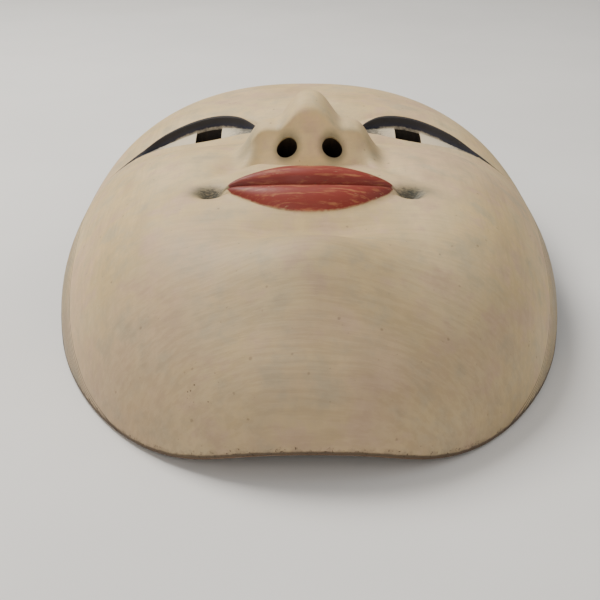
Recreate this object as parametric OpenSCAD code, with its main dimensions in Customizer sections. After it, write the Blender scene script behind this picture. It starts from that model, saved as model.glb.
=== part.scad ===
// Noh mask of a young woman, carved from one block of cypress.
// It lies face up on its flat back rim: X to its left cheek, Y up the face, Z out of the face.

/* [Mask] */
// Length of the mask, chin to top
mask_h = 212; // [190:1:230]
// Width across the cheeks
mask_w = 136; // [120:1:150]
// Height of the dome at the eyes, above the back rim
dome_h = 42; // [36:0.5:52]
// How square the outline is (2 is an ellipse)
outline_n = 2.5; // [2:0.05:3]
// How much the outline narrows at the chin
chin_narrow = 0.1; // [0:0.01:0.25]
// Height of the arch in the rim under the chin
chin_arch = 6.5; // [0:0.5:12]

/* [Wall and coats] */
// Thickness of the wall at the rim
wall_t = 8; // [5:0.5:12]
// Thickness of the chalk coat on the face
gofun_t = 0.45; // [0.3:0.05:1]
// Thickness of the lacquer on the back
lacquer_t = 0.35; // [0.2:0.05:1]
// Bare wood left between the rim and each coat
coat_gap = 0.8; // [0.4:0.1:3]

/* [Nose] */
// How far the tip of the nose stands above the face
nose_h = 17.4; // [12:0.2:20]
// Half the width of the bridge
bridge_w = 6.4; // [5:0.1:9]
// Sideways place of each wing
wing_x = 11.2; // [9:0.1:14]
// Height of each wing
wing_h = 9.6; // [5:0.1:11]
// Radius of each nostril
nostril_r = 2.3; // [1.5:0.1:3]
// Lean of each nostril, up into the nose
nostril_lean = 38; // [20:1:50]

/* [Eyes] */
// Inner corner, from the middle of the face
eye_in_x = 14; // [11:0.5:18]
// Inner corner, up the face
eye_in_y = 6.6; // [0:0.2:14]
// Outer corner, from the middle of the face
eye_out_x = 49; // [42:0.5:54]
// Outer corner, up the face
eye_out_y = 4.4; // [0:0.2:14]
// Height of the upper lid over the line of the corners
eye_open = 7.8; // [4:0.2:9]
// Side of the square hole in each pupil
pupil_w = 7.4; // [5:0.1:9]
// Middle of each pupil, from the middle of the face
pupil_x = 28.6; // [24:0.1:34]

/* [Mouth] */
// Half the width of the lips
mouth_w = 21; // [17:0.5:25]
// Half the width of the slot between the lips
slot_w = 15.5; // [10:0.5:18]
// Depth of the teeth behind the upper lip
teeth_set = 2.4; // [1:0.1:4]

/* [Cord holes] */
// Radius of the finished hole
hole_r = 2.5; // [1.5:0.1:4]
// Thickness of the lacquer skin in the hole
lining_t = 0.6; // [0.3:0.1:1]
// Height of the hole above the rim
hole_z = 17; // [12:0.5:24]
// Place of the hole up the face
hole_y = 12; // [-5:0.5:25]

/* [Pads] */
// Thickness of the forehead pad
brow_pad_t = 9; // [5:0.5:14]
// Thickness of each cheek pad
cheek_pad_t = 7; // [4:0.5:12]
// Thickness of the cloth cover
cloth_t = 0.8; // [0.4:0.1:1.5]

/* [Fineness] */
// Rings between the face and the rim
n_ring = 4; // [3:1:8]

/* [Hidden] */

hw = mask_w / 2;
hh = mask_h / 2;
$fn = 48;

// ---- small helpers
function clamp(t) = max(0, min(1, t));
function smooth(a, b, x) = let (t = clamp((x - a) / (b - a))) t * t * (3 - 2 * t);
function bell(x, s, p = 2) = exp(-pow(abs(x / s), p));
function unit(v) = v / norm(v);

// ---- outline: a squarish ellipse, narrowed at the chin and a little at the top
function taper(y) = 1 - chin_narrow * smooth(-15, -125, y) - 0.05 * smooth(30, 130, y);
function rho(x, y, a, b) =
  pow(pow(abs(x / taper(y)) / a, outline_n) + pow(abs(y) / b, outline_n), 1 / outline_n);
function edge(q, a, b) =
  let (
    d = norm([q[0] / taper(q[1]), q[1]]),
    c = q[0] / taper(q[1]) / d,
    s = q[1] / d,
    r = pow(pow(abs(c) / a, outline_n) + pow(abs(s) / b, outline_n), -1 / outline_n)
  )
  [r * c * taper(r * s), r * s];

// ---- nose: rows of the sheet run over the tip and down its underside
n_top = -19.5;
n_tip = -27.5;
n_base = -37.5;
n_end = -46;
function nose_row(u, v) =
  let (
    w = smooth(20, 12, abs(u)),
    yt = -28.2 + 1.6 * smooth(4, 12, abs(u)),
    yb = -31.6 + 1.6 * smooth(3, 12, abs(u)),
    p = clamp((n_top - v) / (n_top - n_tip)),
    s = clamp((n_tip - v) / (n_tip - n_base)),
    e = clamp((n_base - v) / (n_base - n_end)),
    y = n_top + (yt - n_top) * sin(90 * p) + (yb - yt) * pow(s, 1.6) + (n_end - yb) * e
  )
  (v >= n_top || v <= n_end) ? v : y * w + v * (1 - w);
function nose(u, v) =
  let (
    a = abs(u),
    k = smooth(26, n_top, v),
    tall = nose_h * (0.45 * k + 0.55 * pow(clamp((20 - v) / (20 - n_top)), 1.35)),
    wide = bridge_w + 2.9 * smooth(14, -20, v),
    ridge = tall * exp(-pow(a / wide, 2.1 + 0.3 * smooth(0, -20, v))),
    wing = wing_h * bell(a - wing_x, 5.2, 2.4) * bell(max(v + 22, 0), 7.5),
    p = clamp((n_top - v) / (n_top - n_tip)),
    s = clamp((n_tip - v) / (n_tip - n_base)),
    fall = (1 - 0.24 * (1 - cos(90 * p))) * (1 - pow(s, 1.05))
  )
  pow(pow(ridge, 2.4) + pow(wing, 2.4), 1 / 2.4) * fall;

// ---- lips: upper edge, parting, lower lip's upper edge, lower edge
function lip_t(x) = min(1.3, abs(x) / mouth_w);
function lip_top(x) = -42.6 + 0.8 * bell(abs(x) - 5, 4) - 6.2 * pow(lip_t(x), 2.6);
function lip_part(x) = -48.3 - 0.5 * bell(x, 5) - 0.7 * pow(lip_t(x), 3);
function lip_low(x) = -51.8 + 2.8 * pow(lip_t(x), 2.2);
function lip_end(x) = -59 + 9.4 * pow(lip_t(x), 2.4);
function swell(q) = (q > 0 && q < 1) ? pow(4 * q * (1 - q), 0.6) : 0;
function lips(x, y) =
  let (
    t = lip_t(x),
    fade = pow(clamp(1 - pow(t, 3)), 0.7),
    up = swell((y - lip_part(x)) / (lip_top(x) - lip_part(x))),
    lo = swell((lip_low(x) - y) / (lip_low(x) - lip_end(x))),
    gap = smooth(lip_low(x) - 0.4, lip_low(x) + 0.6, y) * smooth(lip_part(x) + 0.3, lip_part(x) - 0.3, y)
  )
  (2.2 * up + 2.6 * lo) * fade - teeth_set * gap * smooth(1, 0.75, t);

// ---- eyes: lid lines and the sunk ball between them
function eye_t(x) = (abs(x) - eye_in_x) / (eye_out_x - eye_in_x);
function eye_mid(t) = eye_in_y + (eye_out_y - eye_in_y) * clamp(t);
function eye_low(t) = eye_mid(t) - 0.9 * sin(180 * clamp(t));
function eye_top(t) = eye_mid(t) + eye_open * sin(180 * pow(clamp(t), 0.82));
function eyes(x, y) =
  let (
    t = eye_t(x),
    lo = eye_low(t),
    up = eye_top(t),
    f = smooth(0, 0.16, t) * smooth(1, 0.8, t),
    e = clamp((y - lo) / max(up - lo, 0.001)),
    ball = -(0.5 + 0.5 * e) + 3.4 * e * (1 - e),
    lid = smooth(-0.1, 0.2, t) * smooth(1.16, 0.75, t)
  )
  ball * f * smooth(-0.3, 0.3, y - lo) * smooth(0.3, -0.3, y - up)
  + 1.9 * lid * bell(y - up - 1, 2.8) * smooth(-0.5, 0.3, y - up)
  - 0.7 * lid * bell(y - up - 5.4, 1.1)
  + 0.7 * lid * bell(lo - y - 1.2, 2.4) * smooth(-0.4, 0.3, lo - y);

// ---- the whole front as a height over the rim plane
function relief(x, y) =
  let (a = abs(x), fold = 17.5 + 0.035 * pow(y + 27, 2))
  2.5 * bell(x, 45) * bell(y - 56, 28)
  + 1.8 * bell(x, 40, 3) * bell(y - 26, 10)
  - 3.2 * bell(a - 29, 19) * bell(y - 2, 10)
  + 3.4 * bell(a - 34, 20) * bell(y + 27, 20)
  + 5 * bell(a - 40, 20) * bell(y + 62, 24)
  + 5 * bell(x, 22) * bell(y + 47, 13)
  + 6.2 * bell(x, 27) * bell(y + 80, 16)
  + 3.4 * bell(x, 13.5) * bell(y + 81.5, 10)
  - 3 * bell(x, 16, 3) * bell(y + 65.5, 4.8)
  - 0.8 * bell(x, 2.6) * smooth(-43.5, -40.5, y) * smooth(-31, -35, y)
  - 2.8 * bell(a - 23.5, 2.8) * bell(y + 49.4, 2)
  - 0.9 * bell(a - fold, 3.2) * smooth(-47, -38, y) * smooth(-20, -28, y);
function arch(x, y) = chin_arch * bell(x, 26, 2.6) * smooth(-74, -hh, y);
function front_z(u, v, y) =
  let (r = rho(u, y, hw, hh))
  dome_h * pow(clamp(1 - pow(r, 3)), 0.45)
  + (relief(u, y) + lips(u, y) + eyes(u, y)) * (1 - pow(min(r, 1), 10))
  + nose(u, v)
  + arch(u, y) * smooth(0.8, 1, r);
function front(q) = let (y = nose_row(q[0], q[1])) [q[0], y, front_z(q[0], q[1], y)];

// ---- the hollow behind it
iw = hw - wall_t;
ih = hh - wall_t;
function back_z(x, y) =
  let (r = rho(x, y, iw, ih))
  (dome_h - 9.5) * pow(clamp(1 - pow(r, 3)), 0.48)
  + (8 * bell(x, 9) * bell(y + 20, 14) + 4 * bell(x, 24) * bell(y + 52, 20)
    + 5 * bell(x, 26) * bell(y + 74, 14) - 3 * bell(abs(x) - 29, 17) * bell(y - 9, 12))
    * (1 - pow(min(r, 1), 10))
  + arch(x, y) * smooth(0.8, 1, r);
function back(q) =
  let (
    k = pow(min(rho(q[0], q[1], hw, hh), 1), 3),
    y = q[1] * (1 - k * (1 - ih / hh)),
    x = q[0] / taper(q[1]) * (1 - k * (1 - iw / hw)) * taper(y)
  )
  [x, y, back_z(x, y)];

// ---- the sheet: a patch of squares, then rings out to the rim
half_cols = [0, 2, 4, 6, 8.4, 10.8, 13.4, 16.4, 20, 24.9, 28.6, 32.3, 37.5, 43.5, 50.3];
rows = [
  -78.4, -71, -65.5, -62, -59, -56.6, -54.2, -51.8, -50, -48.3, -46.2, -44, -41, -39, -37.5,
  -35.4, -33.4, -31.4, -29.4, -27.5, -25.5, -23.5, -21.5, -19.5, -16, -12, -8, -4, 0, 3, 5,
  6.8, 8.6, 10.4, 12.2, 14.6, 17.8, 22, 28, 36, 45, 54, 63, 71, 78.4
];
cols = concat([for (i = [len(half_cols) - 1:-1:1]) -half_cols[i]], half_cols);
n_u = len(cols) - 1;
n_v = len(rows) - 1;

// rows bend to run along the lids and the lips
function bend_eye(x, y) =
  let (
    t = eye_t(x),
    lo = eye_low(t),
    up = max(eye_top(t), lo + 1.6),
    w = smooth(-0.35, 0, t) * smooth(1.35, 1, t)
  )
  y + w * (lookup(y, [[-12, -12], [5, lo], [12.2, up], [17.8, up + 5], [30, 30]]) - y);
function lip_row(y) = y < n_end ? y : n_base + (y + 31.6) * (n_base - n_end) / (n_end + 31.6) * -1;
function bend_lip(x, y) =
  let (
    k1 = lip_part(x),
    k0 = max(lip_top(x), k1 + 1.2),
    k2 = min(lip_low(x), k1 - 1.2),
    k3 = min(lip_end(x), k2 - 1.4),
    w = smooth(1.7, 1, abs(x) / mouth_w)
  )
  y + w * (lookup(y, [[-73, -73], [-59, k3], [-51.8, k2], [-48.3, k1], [-44, lip_row(k0)], [-36, -36]]) - y);
function bent(x, y) = (y > -12 && y < 30) ? bend_eye(x, y) : (y > -73 && y < -36) ? bend_lip(x, y) : y;
function squared(s, t) =
  let (m = max(abs(s), abs(t)))
  m == 0 ? 1 : 1 + (pow(pow(abs(s), 5) + pow(abs(t), 5), 0.2) / m - 1) * m * m;
function patch_at(i, j) =
  let (
    k = squared(cols[i] / (0.74 * hw), rows[j] / (0.74 * hh)),
    x = cols[i] / k,
    y = rows[j] / k
  )
  [x * taper(y), bent(x * taper(y), y)];
patch = [for (i = [0:n_u]) for (j = [0:n_v]) patch_at(i, j)];
function at(i, j) = i * (n_v + 1) + j;
loop = concat(
  [for (i = [0:n_u - 1]) at(i, 0)],
  [for (j = [0:n_v - 1]) at(n_u, j)],
  [for (i = [n_u:-1:1]) at(i, n_v)],
  [for (j = [n_v:-1:1]) at(0, j)]
);
n_l = len(loop);
rings = [
  for (k = [1:n_ring - 1]) for (i = loop)
    patch[i] + (edge(patch[i], hw, hh) - patch[i]) * sin(90 * k / n_ring)
];
rim_q = [for (i = loop) edge(patch[i], hw, hh)];
plan = concat(patch, rings);

// ---- points of a sheet set in by a depth, measured square to the surface
function slope(q, side) =
  let (
    h = max(0.002, min(1.2, 20 * (1 - rho(q[0], q[1], hw, hh)))),
    a = side == 0 ? front(q + [h, 0]) - front(q - [h, 0]) : back(q + [h, 0]) - back(q - [h, 0]),
    b = side == 0 ? front(q + [0, h]) - front(q - [0, h]) : back(q + [0, h]) - back(q - [0, h])
  )
  unit(cross(a, b));
function rim_out(q, a, b) =
  let (h = 0.01)
  unit([
    rho(q[0] + h, q[1], a, b) - rho(q[0] - h, q[1], a, b),
    rho(q[0], q[1] + h, a, b) - rho(q[0], q[1] - h, a, b),
    0
  ]);
function front_sheet(d) = concat(
  [for (q = plan) front(q) - d * slope(q, 0)],
  [for (q = rim_q) [q[0], q[1], arch(q[0], q[1]) + coat_gap] - d * rim_out(q, hw, hh)]
);
function back_sheet(d) = concat(
  [for (q = plan) back(q) + d * slope(q, 1)],
  [
    for (q = rim_q)
      let (p = edge(q, iw, ih))
      [p[0], p[1], arch(q[0], q[1]) + coat_gap] + d * rim_out(p, iw, ih)
  ]
);
n_sheet = len(plan) + n_l;
edge_at = n_sheet - n_l;

// two triangles for each square
function quad(a, b, c, d) = [[a, b, c], [a, c, d]];
function flat2(list) = [for (a = list) for (b = a) b];
function ring_at(k, i) = k == 0 ? loop[i % n_l] : (n_u + 1) * (n_v + 1) + (k - 1) * n_l + i % n_l;
sheet_up = flat2(concat(
  [for (i = [0:n_u - 1]) for (j = [0:n_v - 1]) quad(at(i, j), at(i, j + 1), at(i + 1, j + 1), at(i + 1, j))],
  [
    for (k = [0:n_ring - 1]) for (i = [0:n_l - 1])
      quad(ring_at(k, i), ring_at(k, i + 1), ring_at(k + 1, i + 1), ring_at(k + 1, i))
  ]
));
function turned(tris, n) = [for (t = tris) [t[0] + n, t[2] + n, t[1] + n]];
function band(a, b) = flat2([for (i = [0:n_l - 1]) let (j = (i + 1) % n_l) quad(a + i, a + j, b + j, b + i)]);

// a closed skin between two sheets
module skin(top, low) {
  polyhedron(
    points = concat(top, low),
    faces = concat(sheet_up, turned(sheet_up, n_sheet), band(edge_at, n_sheet + edge_at))
  );
}

// the carved block: both sheets, and a flat rim below them
module block() {
  top = front_sheet(gofun_t);
  low = back_sheet(lacquer_t);
  foot_out = [for (i = [edge_at:n_sheet - 1]) top[i] - [0, 0, coat_gap]];
  foot_in = [for (i = [edge_at:n_sheet - 1]) low[i] - [0, 0, coat_gap]];
  m = 2 * n_sheet;
  polyhedron(
    points = concat(top, low, foot_out, foot_in),
    faces = concat(
      sheet_up,
      turned(sheet_up, n_sheet),
      band(edge_at, m),
      band(m, m + n_l),
      band(m + n_l, n_sheet + edge_at)
    )
  );
}

// ---- holes through the face
eye_hole_y = eye_low(eye_t(pupil_x)) + 0.5;
module face_holes() {
  for (s = [-1, 1]) {
    translate([s * pupil_x - pupil_w / 2, eye_hole_y, 15])
      cube([pupil_w, pupil_w - 0.9, 50]);
    translate([s * 5.6, -29.8, dome_h + 6])
      rotate([nostril_lean, 0, 0])
        translate([0, 0, -34])
          cylinder(r = nostril_r, h = 44);
  }
  translate([0, 0, 15])
    linear_extrude(height = 50)
      polygon(concat(
        [for (x = [-slot_w:slot_w / 6:slot_w]) [x, lip_low(x) + 0.1]],
        [for (x = [slot_w:-slot_w / 6:-slot_w]) [x, lip_low(x) + 0.1 + 2.2 * sqrt(clamp(1.02 - pow(x / slot_w, 2)))]]
      ));
}
module cord_hole(r) {
  for (s = [-1, 1])
    translate([s * (hw - 20), hole_y, hole_z])
      rotate([0, s * 90, 0])
        cylinder(r = r, h = 30);
}

// ---- sub-parts
module wood_shell() {
  color([0.72, 0.56, 0.36])
    difference() {
      block();
      face_holes();
      cord_hole(hole_r + lining_t);
    }
}
module gofun_coat() {
  color([0.87, 0.79, 0.62])
    difference() {
      skin(front_sheet(0), front_sheet(gofun_t));
      face_holes();
      cord_hole(hole_r + lining_t);
    }
}
module back_lacquer() {
  color([0.16, 0.09, 0.06])
    difference() {
      skin(back_sheet(lacquer_t), back_sheet(0));
      face_holes();
      cord_hole(hole_r + lining_t);
    }
}
module lining(s) {
  color([0.1, 0.06, 0.05])
    translate([s * 56, hole_y, hole_z])
      rotate([0, s * 90, 0])
        difference() {
          cylinder(r = hole_r + lining_t, h = 7);
          translate([0, 0, -1])
            cylinder(r = hole_r, h = 9);
        }
}
module left_cord_hole_lining() {
  lining(1);
}
module right_cord_hole_lining() {
  lining(-1);
}

// pads: a lens of wadding in a cloth cover, lying against the hollow
module lens(w, h, t, inset) {
  scale([(w - 2 * inset) / 2, (h - 2 * inset) / 2, (t - 2 * inset) / 2])
    sphere(r = 1, $fn = 32);
}
module pad_cover(p, turn, w, h, t) {
  color([0.78, 0.74, 0.66])
    translate(p)
      rotate(turn)
        difference() {
          lens(w, h, t, 0);
          lens(w, h, t, cloth_t);
        }
}
module pad_wadding(p, turn, w, h, t) {
  color([0.93, 0.91, 0.86])
    translate(p)
      rotate(turn)
        lens(w, h, t, cloth_t);
}
brow_p = [0, 52, 24.8];
brow_r = [-8, 0, 0];
cheek_p = [36, -30, 23];
cheek_r = [0, 19, 0];
module forehead_pad_cover() {
  pad_cover(brow_p, brow_r, 62, 26, brow_pad_t);
}
module forehead_pad_wadding() {
  pad_wadding(brow_p, brow_r, 62, 26, brow_pad_t);
}
module left_cheek_pad_cover() {
  pad_cover(cheek_p, cheek_r, 20, 34, cheek_pad_t);
}
module left_cheek_pad_wadding() {
  pad_wadding(cheek_p, cheek_r, 20, 34, cheek_pad_t);
}
module right_cheek_pad_cover() {
  pad_cover([-cheek_p[0], cheek_p[1], cheek_p[2]], -cheek_r, 20, 34, cheek_pad_t);
}
module right_cheek_pad_wadding() {
  pad_wadding([-cheek_p[0], cheek_p[1], cheek_p[2]], -cheek_r, 20, 34, cheek_pad_t);
}

wood_shell();
gofun_coat();
back_lacquer();
left_cord_hole_lining();
right_cord_hole_lining();
forehead_pad_cover();
forehead_pad_wadding();
left_cheek_pad_cover();
left_cheek_pad_wadding();
right_cheek_pad_cover();
right_cheek_pad_wadding();
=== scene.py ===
"""Noh mask of a young woman: carved cypress, chalk coat, painted face, lacquered back and cloth pads."""

import math

import bmesh
import bpy
import numpy as np
from bpy.props import FloatProperty, FloatVectorProperty, IntProperty, PointerProperty
from mathutils import Matrix, Vector


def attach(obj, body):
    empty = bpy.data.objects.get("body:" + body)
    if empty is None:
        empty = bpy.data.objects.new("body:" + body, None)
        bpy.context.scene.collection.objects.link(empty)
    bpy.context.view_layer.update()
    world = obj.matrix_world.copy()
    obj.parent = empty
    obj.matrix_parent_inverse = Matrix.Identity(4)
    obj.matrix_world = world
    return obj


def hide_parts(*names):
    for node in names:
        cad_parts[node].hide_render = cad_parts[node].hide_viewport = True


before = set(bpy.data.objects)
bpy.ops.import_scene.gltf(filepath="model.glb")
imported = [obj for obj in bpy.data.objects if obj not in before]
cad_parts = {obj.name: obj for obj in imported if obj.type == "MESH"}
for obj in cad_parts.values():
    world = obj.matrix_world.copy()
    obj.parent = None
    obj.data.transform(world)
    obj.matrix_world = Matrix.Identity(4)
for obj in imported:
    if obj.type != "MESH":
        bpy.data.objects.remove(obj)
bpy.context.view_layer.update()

bl_info = {
    "name": "Noh Mask",
    "version": (1, 0, 0),
    "blender": (4, 5, 0),
    "location": "View3D > Sidebar > Noh Mask",
    "description": "Carves, coats, paints and pads a noh mask in its packed frame",
    "category": "Object",
}

MM = 0.001

# ---------------------------------------------------------------------------
# The face, in millimetres: X to its left cheek, Y up the face, Z out of it.

HALF_W = 68.0
HALF_H = 106.0
OUTLINE_N = 2.5
CHIN_NARROW = 0.10
CHIN_ARCH = 6.5
DOME = 42.0
WALL = 8.0
COAT = 0.45
LACQUER = 0.35
COAT_GAP = 0.8
NOSE_H = 17.4
BRIDGE_W = 6.4
WING_X = 11.2
WING_H = 9.6
EYE_IN = (14.0, 6.6)
EYE_OUT = (49.0, 4.4)
EYE_OPEN = 7.8
PUPIL_X = 28.6
PUPIL_W = 7.4
MOUTH_W = 21.0
SLOT_W = 15.5
TEETH_SET = 2.4
HOLE_R = 2.5
LINING = 0.6
HOLE_Y = 12.0
HOLE_Z = 17.0
NICKS_AT = (-23, -98, 18)
BROW_AT = (25, 73)
DIMPLE_AT = (23.8, -48.6)
HAIR_CHEEK, HAIR_BROW, HAIR_PARTING = 24, 11, 2
PUPIL_SILL, PUPIL_HEAD = 0.5, 0.35
NOSTRIL_INK = 3.0
INK_DEPTH, INK_FROM = 0.6, 12
NOSTRIL_LINE = ((5.8, -36.0, 55.9), (5.4, -8.9, 21.2))
TOP, TIP, BASE, END = -19.5, -27.5, -37.5, -46.0


def smooth(a, b, x):
    """0 at a, 1 at b, with an easy start and end."""
    t = np.clip((x - a) / (b - a), 0, 1)
    return t * t * (3 - 2 * t)


def bell(x, s, p=2.0):
    """1 at zero, falling off over about s."""
    return np.exp(-np.abs(x / s) ** p)


def taper(y):
    """Narrows the outline towards the chin and a little at the top."""
    return 1 - CHIN_NARROW * smooth(-15, -125, y) - 0.05 * smooth(30, 130, y)


def rho(x, y, a=HALF_W, b=HALF_H):
    return (np.abs(x / taper(y) / a) ** OUTLINE_N + np.abs(y / b) ** OUTLINE_N) ** (1 / OUTLINE_N)


def edge(x, y, a=HALF_W, b=HALF_H):
    """The outline's point in the direction of (x, y)."""
    x = x / taper(y)
    d = np.hypot(x, y)
    r = (np.abs(x / d / a) ** OUTLINE_N + np.abs(y / d / b) ** OUTLINE_N) ** (-1 / OUTLINE_N)
    ey = r * y / d
    return r * x / d * taper(ey), ey


def nose_row(u, v):
    """Rows of the sheet run over the tip of the nose and down its underside."""
    a = np.abs(u)
    w = smooth(20, 12, a)
    yt = -28.2 + 1.6 * smooth(4, 12, a)
    yb = -31.6 + 1.6 * smooth(3, 12, a)
    p = np.clip((TOP - v) / (TOP - TIP), 0, 1) * np.pi / 2
    s = np.clip((TIP - v) / (TIP - BASE), 0, 1)
    e = np.clip((BASE - v) / (BASE - END), 0, 1)
    y = TOP + (yt - TOP) * np.sin(p) + (yb - yt) * s**1.6 + (END - yb) * e
    return np.where((v >= TOP) | (v <= END), v, y * w + v * (1 - w))


def nose(u, v):
    a = np.abs(u)
    k = smooth(26, TOP, v)
    tall = NOSE_H * (0.45 * k + 0.55 * np.clip((20 - v) / (20 - TOP), 0, 1) ** 1.35)
    wide = BRIDGE_W + 2.9 * smooth(14, -20, v)
    ridge = tall * np.exp(-((a / wide) ** (2.1 + 0.3 * smooth(0, -20, v))))
    wing = WING_H * bell(a - WING_X, 5.2, 2.4) * bell(np.maximum(v + 22, 0), 7.5)
    p = np.clip((TOP - v) / (TOP - TIP), 0, 1) * np.pi / 2
    s = np.clip((TIP - v) / (TIP - BASE), 0, 1)
    fall = (1 - 0.24 * (1 - np.cos(p))) * (1 - s**1.05)
    return (ridge**2.4 + wing**2.4) ** (1 / 2.4) * fall


def lip_lines(x):
    """How far out to the corner, then the lips' four lines from top to bottom."""
    t = np.minimum(np.abs(x) / MOUTH_W, 1.3)
    top = -42.6 + 0.8 * bell(np.abs(x) - 5, 4) - 6.2 * t**2.6
    part = -48.3 - 0.5 * bell(x, 5) - 0.7 * t**3
    low = -51.8 + 2.8 * t**2.2
    end = -59.0 + 9.4 * t**2.4
    return t, top, part, low, end


def swell(q):
    """A full round rise between 0 and 1."""
    return np.where((q > 0) & (q < 1), np.clip(4 * q * (1 - q), 0, 1) ** 0.6, 0)


def lips(x, y):
    t, top, part, low, end = lip_lines(x)
    fade = np.clip(1 - t**3, 0, 1) ** 0.7
    up = swell((y - part) / (top - part))
    lo = swell((low - y) / (low - end))
    gap = smooth(low - 0.4, low + 0.6, y) * smooth(part + 0.3, part - 0.3, y)
    return (2.2 * up + 2.6 * lo) * fade - TEETH_SET * gap * smooth(1, 0.75, t)


def eye_lines(x):
    """How far along the eye, then its lower and upper lid."""
    t = (np.abs(x) - EYE_IN[0]) / (EYE_OUT[0] - EYE_IN[0])
    c = np.clip(t, 0, 1)
    mid = EYE_IN[1] + (EYE_OUT[1] - EYE_IN[1]) * c
    return t, mid - 0.9 * np.sin(np.pi * c), mid + EYE_OPEN * np.sin(np.pi * c**0.82)


def eyes(x, y):
    t, lo, up = eye_lines(x)
    f = smooth(0, 0.16, t) * smooth(1, 0.8, t)
    e = np.clip((y - lo) / np.maximum(up - lo, 1e-3), 0, 1)
    ball = -(0.5 + 0.5 * e) + 3.4 * e * (1 - e)
    lid = smooth(-0.1, 0.2, t) * smooth(1.16, 0.75, t)
    return (
        ball * f * smooth(-0.3, 0.3, y - lo) * smooth(0.3, -0.3, y - up)
        + 1.9 * lid * bell(y - up - 1, 2.8) * smooth(-0.5, 0.3, y - up)
        - 0.7 * lid * bell(y - up - 5.4, 1.1)
        + 0.7 * lid * bell(lo - y - 1.2, 2.4) * smooth(-0.4, 0.3, lo - y)
    )


def arch(x, y):
    return CHIN_ARCH * bell(x, 26, 2.6) * smooth(-74, -HALF_H, y)


def relief(x, y):
    a = np.abs(x)
    fold = 17.5 + 0.035 * (y + 27) ** 2
    return (
        2.5 * bell(x, 45) * bell(y - 56, 28)
        + 1.8 * bell(x, 40, 3) * bell(y - 26, 10)
        - 3.2 * bell(a - 29, 19) * bell(y - 2, 10)
        + 3.4 * bell(a - 34, 20) * bell(y + 27, 20)
        + 5.0 * bell(a - 40, 20) * bell(y + 62, 24)
        + 5.0 * bell(x, 22) * bell(y + 47, 13)
        + 6.2 * bell(x, 27) * bell(y + 80, 16)
        + 3.4 * bell(x, 13.5) * bell(y + 81.5, 10)
        - 3.0 * bell(x, 16, 3) * bell(y + 65.5, 4.8)
        - 0.8 * bell(x, 2.6) * smooth(-43.5, -40.5, y) * smooth(-31, -35, y)
        - 2.8 * bell(a - 23.5, 2.8) * bell(y + 49.4, 2)
        - 0.9 * bell(a - fold, 3.2) * smooth(-47, -38, y) * smooth(-20, -28, y)
    )


def front(u, v):
    """A point of the painted face."""
    y = nose_row(u, v)
    r = rho(u, y)
    inner = 1 - np.minimum(r, 1) ** 10
    z = DOME * np.clip(1 - r**3, 0, 1) ** 0.45
    z = z + (relief(u, y) + lips(u, y) + eyes(u, y)) * inner + nose(u, v)
    return np.stack([u, y, z + arch(u, y) * smooth(0.8, 1, r)], -1)


IN_W, IN_H = HALF_W - WALL, HALF_H - WALL


def back(u, v):
    """A point of the hollow behind (u, v)."""
    r0 = np.minimum(rho(u, v), 1) ** 3
    y = v * (1 - r0 * (1 - IN_H / HALF_H))
    ty = taper(y)
    x = u / taper(v) * (1 - r0 * (1 - IN_W / HALF_W)) * ty
    r = rho(x, y, IN_W, IN_H)
    inner = 1 - np.minimum(r, 1) ** 10
    z = (DOME - 9.5) * np.clip(1 - r**3, 0, 1) ** 0.48
    z = z + inner * (
        8 * bell(x, 9) * bell(y + 20, 14)
        + 4 * bell(x, 24) * bell(y + 52, 20)
        + 5 * bell(x, 26) * bell(y + 74, 14)
        - 3 * bell(np.abs(x) - 29, 17) * bell(y - 9, 12)
    )
    return np.stack([x, y, z + arch(x, y) * smooth(0.8, 1, r)], -1)


# ---------------------------------------------------------------------------
# Sheets: a patch of squares whose rows follow lids and lips, then rings out to the rim.

PATCH = 0.74
COL_BANDS = ((0, 12, 0.6), (12, 38, 0.65), (38, 50.3, 1.0))
ROW_BANDS = (
    (-78.4, -66, 1.3),
    (-66, -59, 0.8),
    (-59, -51.8, 0.5),
    (-51.8, -44, 0.4),
    (-44, -19.5, 0.55),
    (-19.5, 0, 1.0),
    (0, 5, 0.6),
    (5, 12.2, 0.4),
    (12.2, 20, 0.65),
    (20, 78.4, 1.8),
)
RINGS = 20


def spaced(bands):
    out = [bands[0][0]]
    for a, b, step in bands:
        n = 2 * max(1, round((b - a) / step / 2))
        out += [a + (b - a) * k / n for k in range(1, n + 1)]
    return np.array(out)


def bend(x, y):
    """Bends rows so that they run along the lids and the lips."""
    t, lo, up = eye_lines(x)
    up = np.maximum(up, lo + 1.2)
    w = smooth(-0.35, 0, t) * smooth(1.35, 1, t)
    knots = np.array([-12, 5, 12.2, 17.8, 30])
    out = y.copy()
    t2, k0, k1, k2, k3 = lip_lines(x)
    k0 = np.maximum(k0, k1 + 1.0)
    k2 = np.minimum(k2, k1 - 1.0)
    k3 = np.minimum(k3, k2 - 1.2)
    row0 = np.where(k0 < END, k0, BASE - (k0 + 31.6) * (BASE - END) / (END + 31.6))
    w2 = smooth(1.7, 1, t2 * 1.0) * smooth(1.7, 1, np.abs(x) / MOUTH_W)
    lip_knots = np.array([-73, -59, -51.8, -48.3, -44, -36])
    for i in np.flatnonzero((y > -12) & (y < 30) & (w > 0)):
        out[i] += w[i] * (np.interp(y[i], knots, [-12, lo[i], up[i], up[i] + 5, 30]) - y[i])
    for i in np.flatnonzero((y > -73) & (y < -36) & (w2 > 0)):
        goal = np.interp(y[i], lip_knots, [-73, k3[i], k2[i], k1[i], row0[i], -36])
        out[i] += w2[i] * (goal - y[i])
    return out


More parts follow.
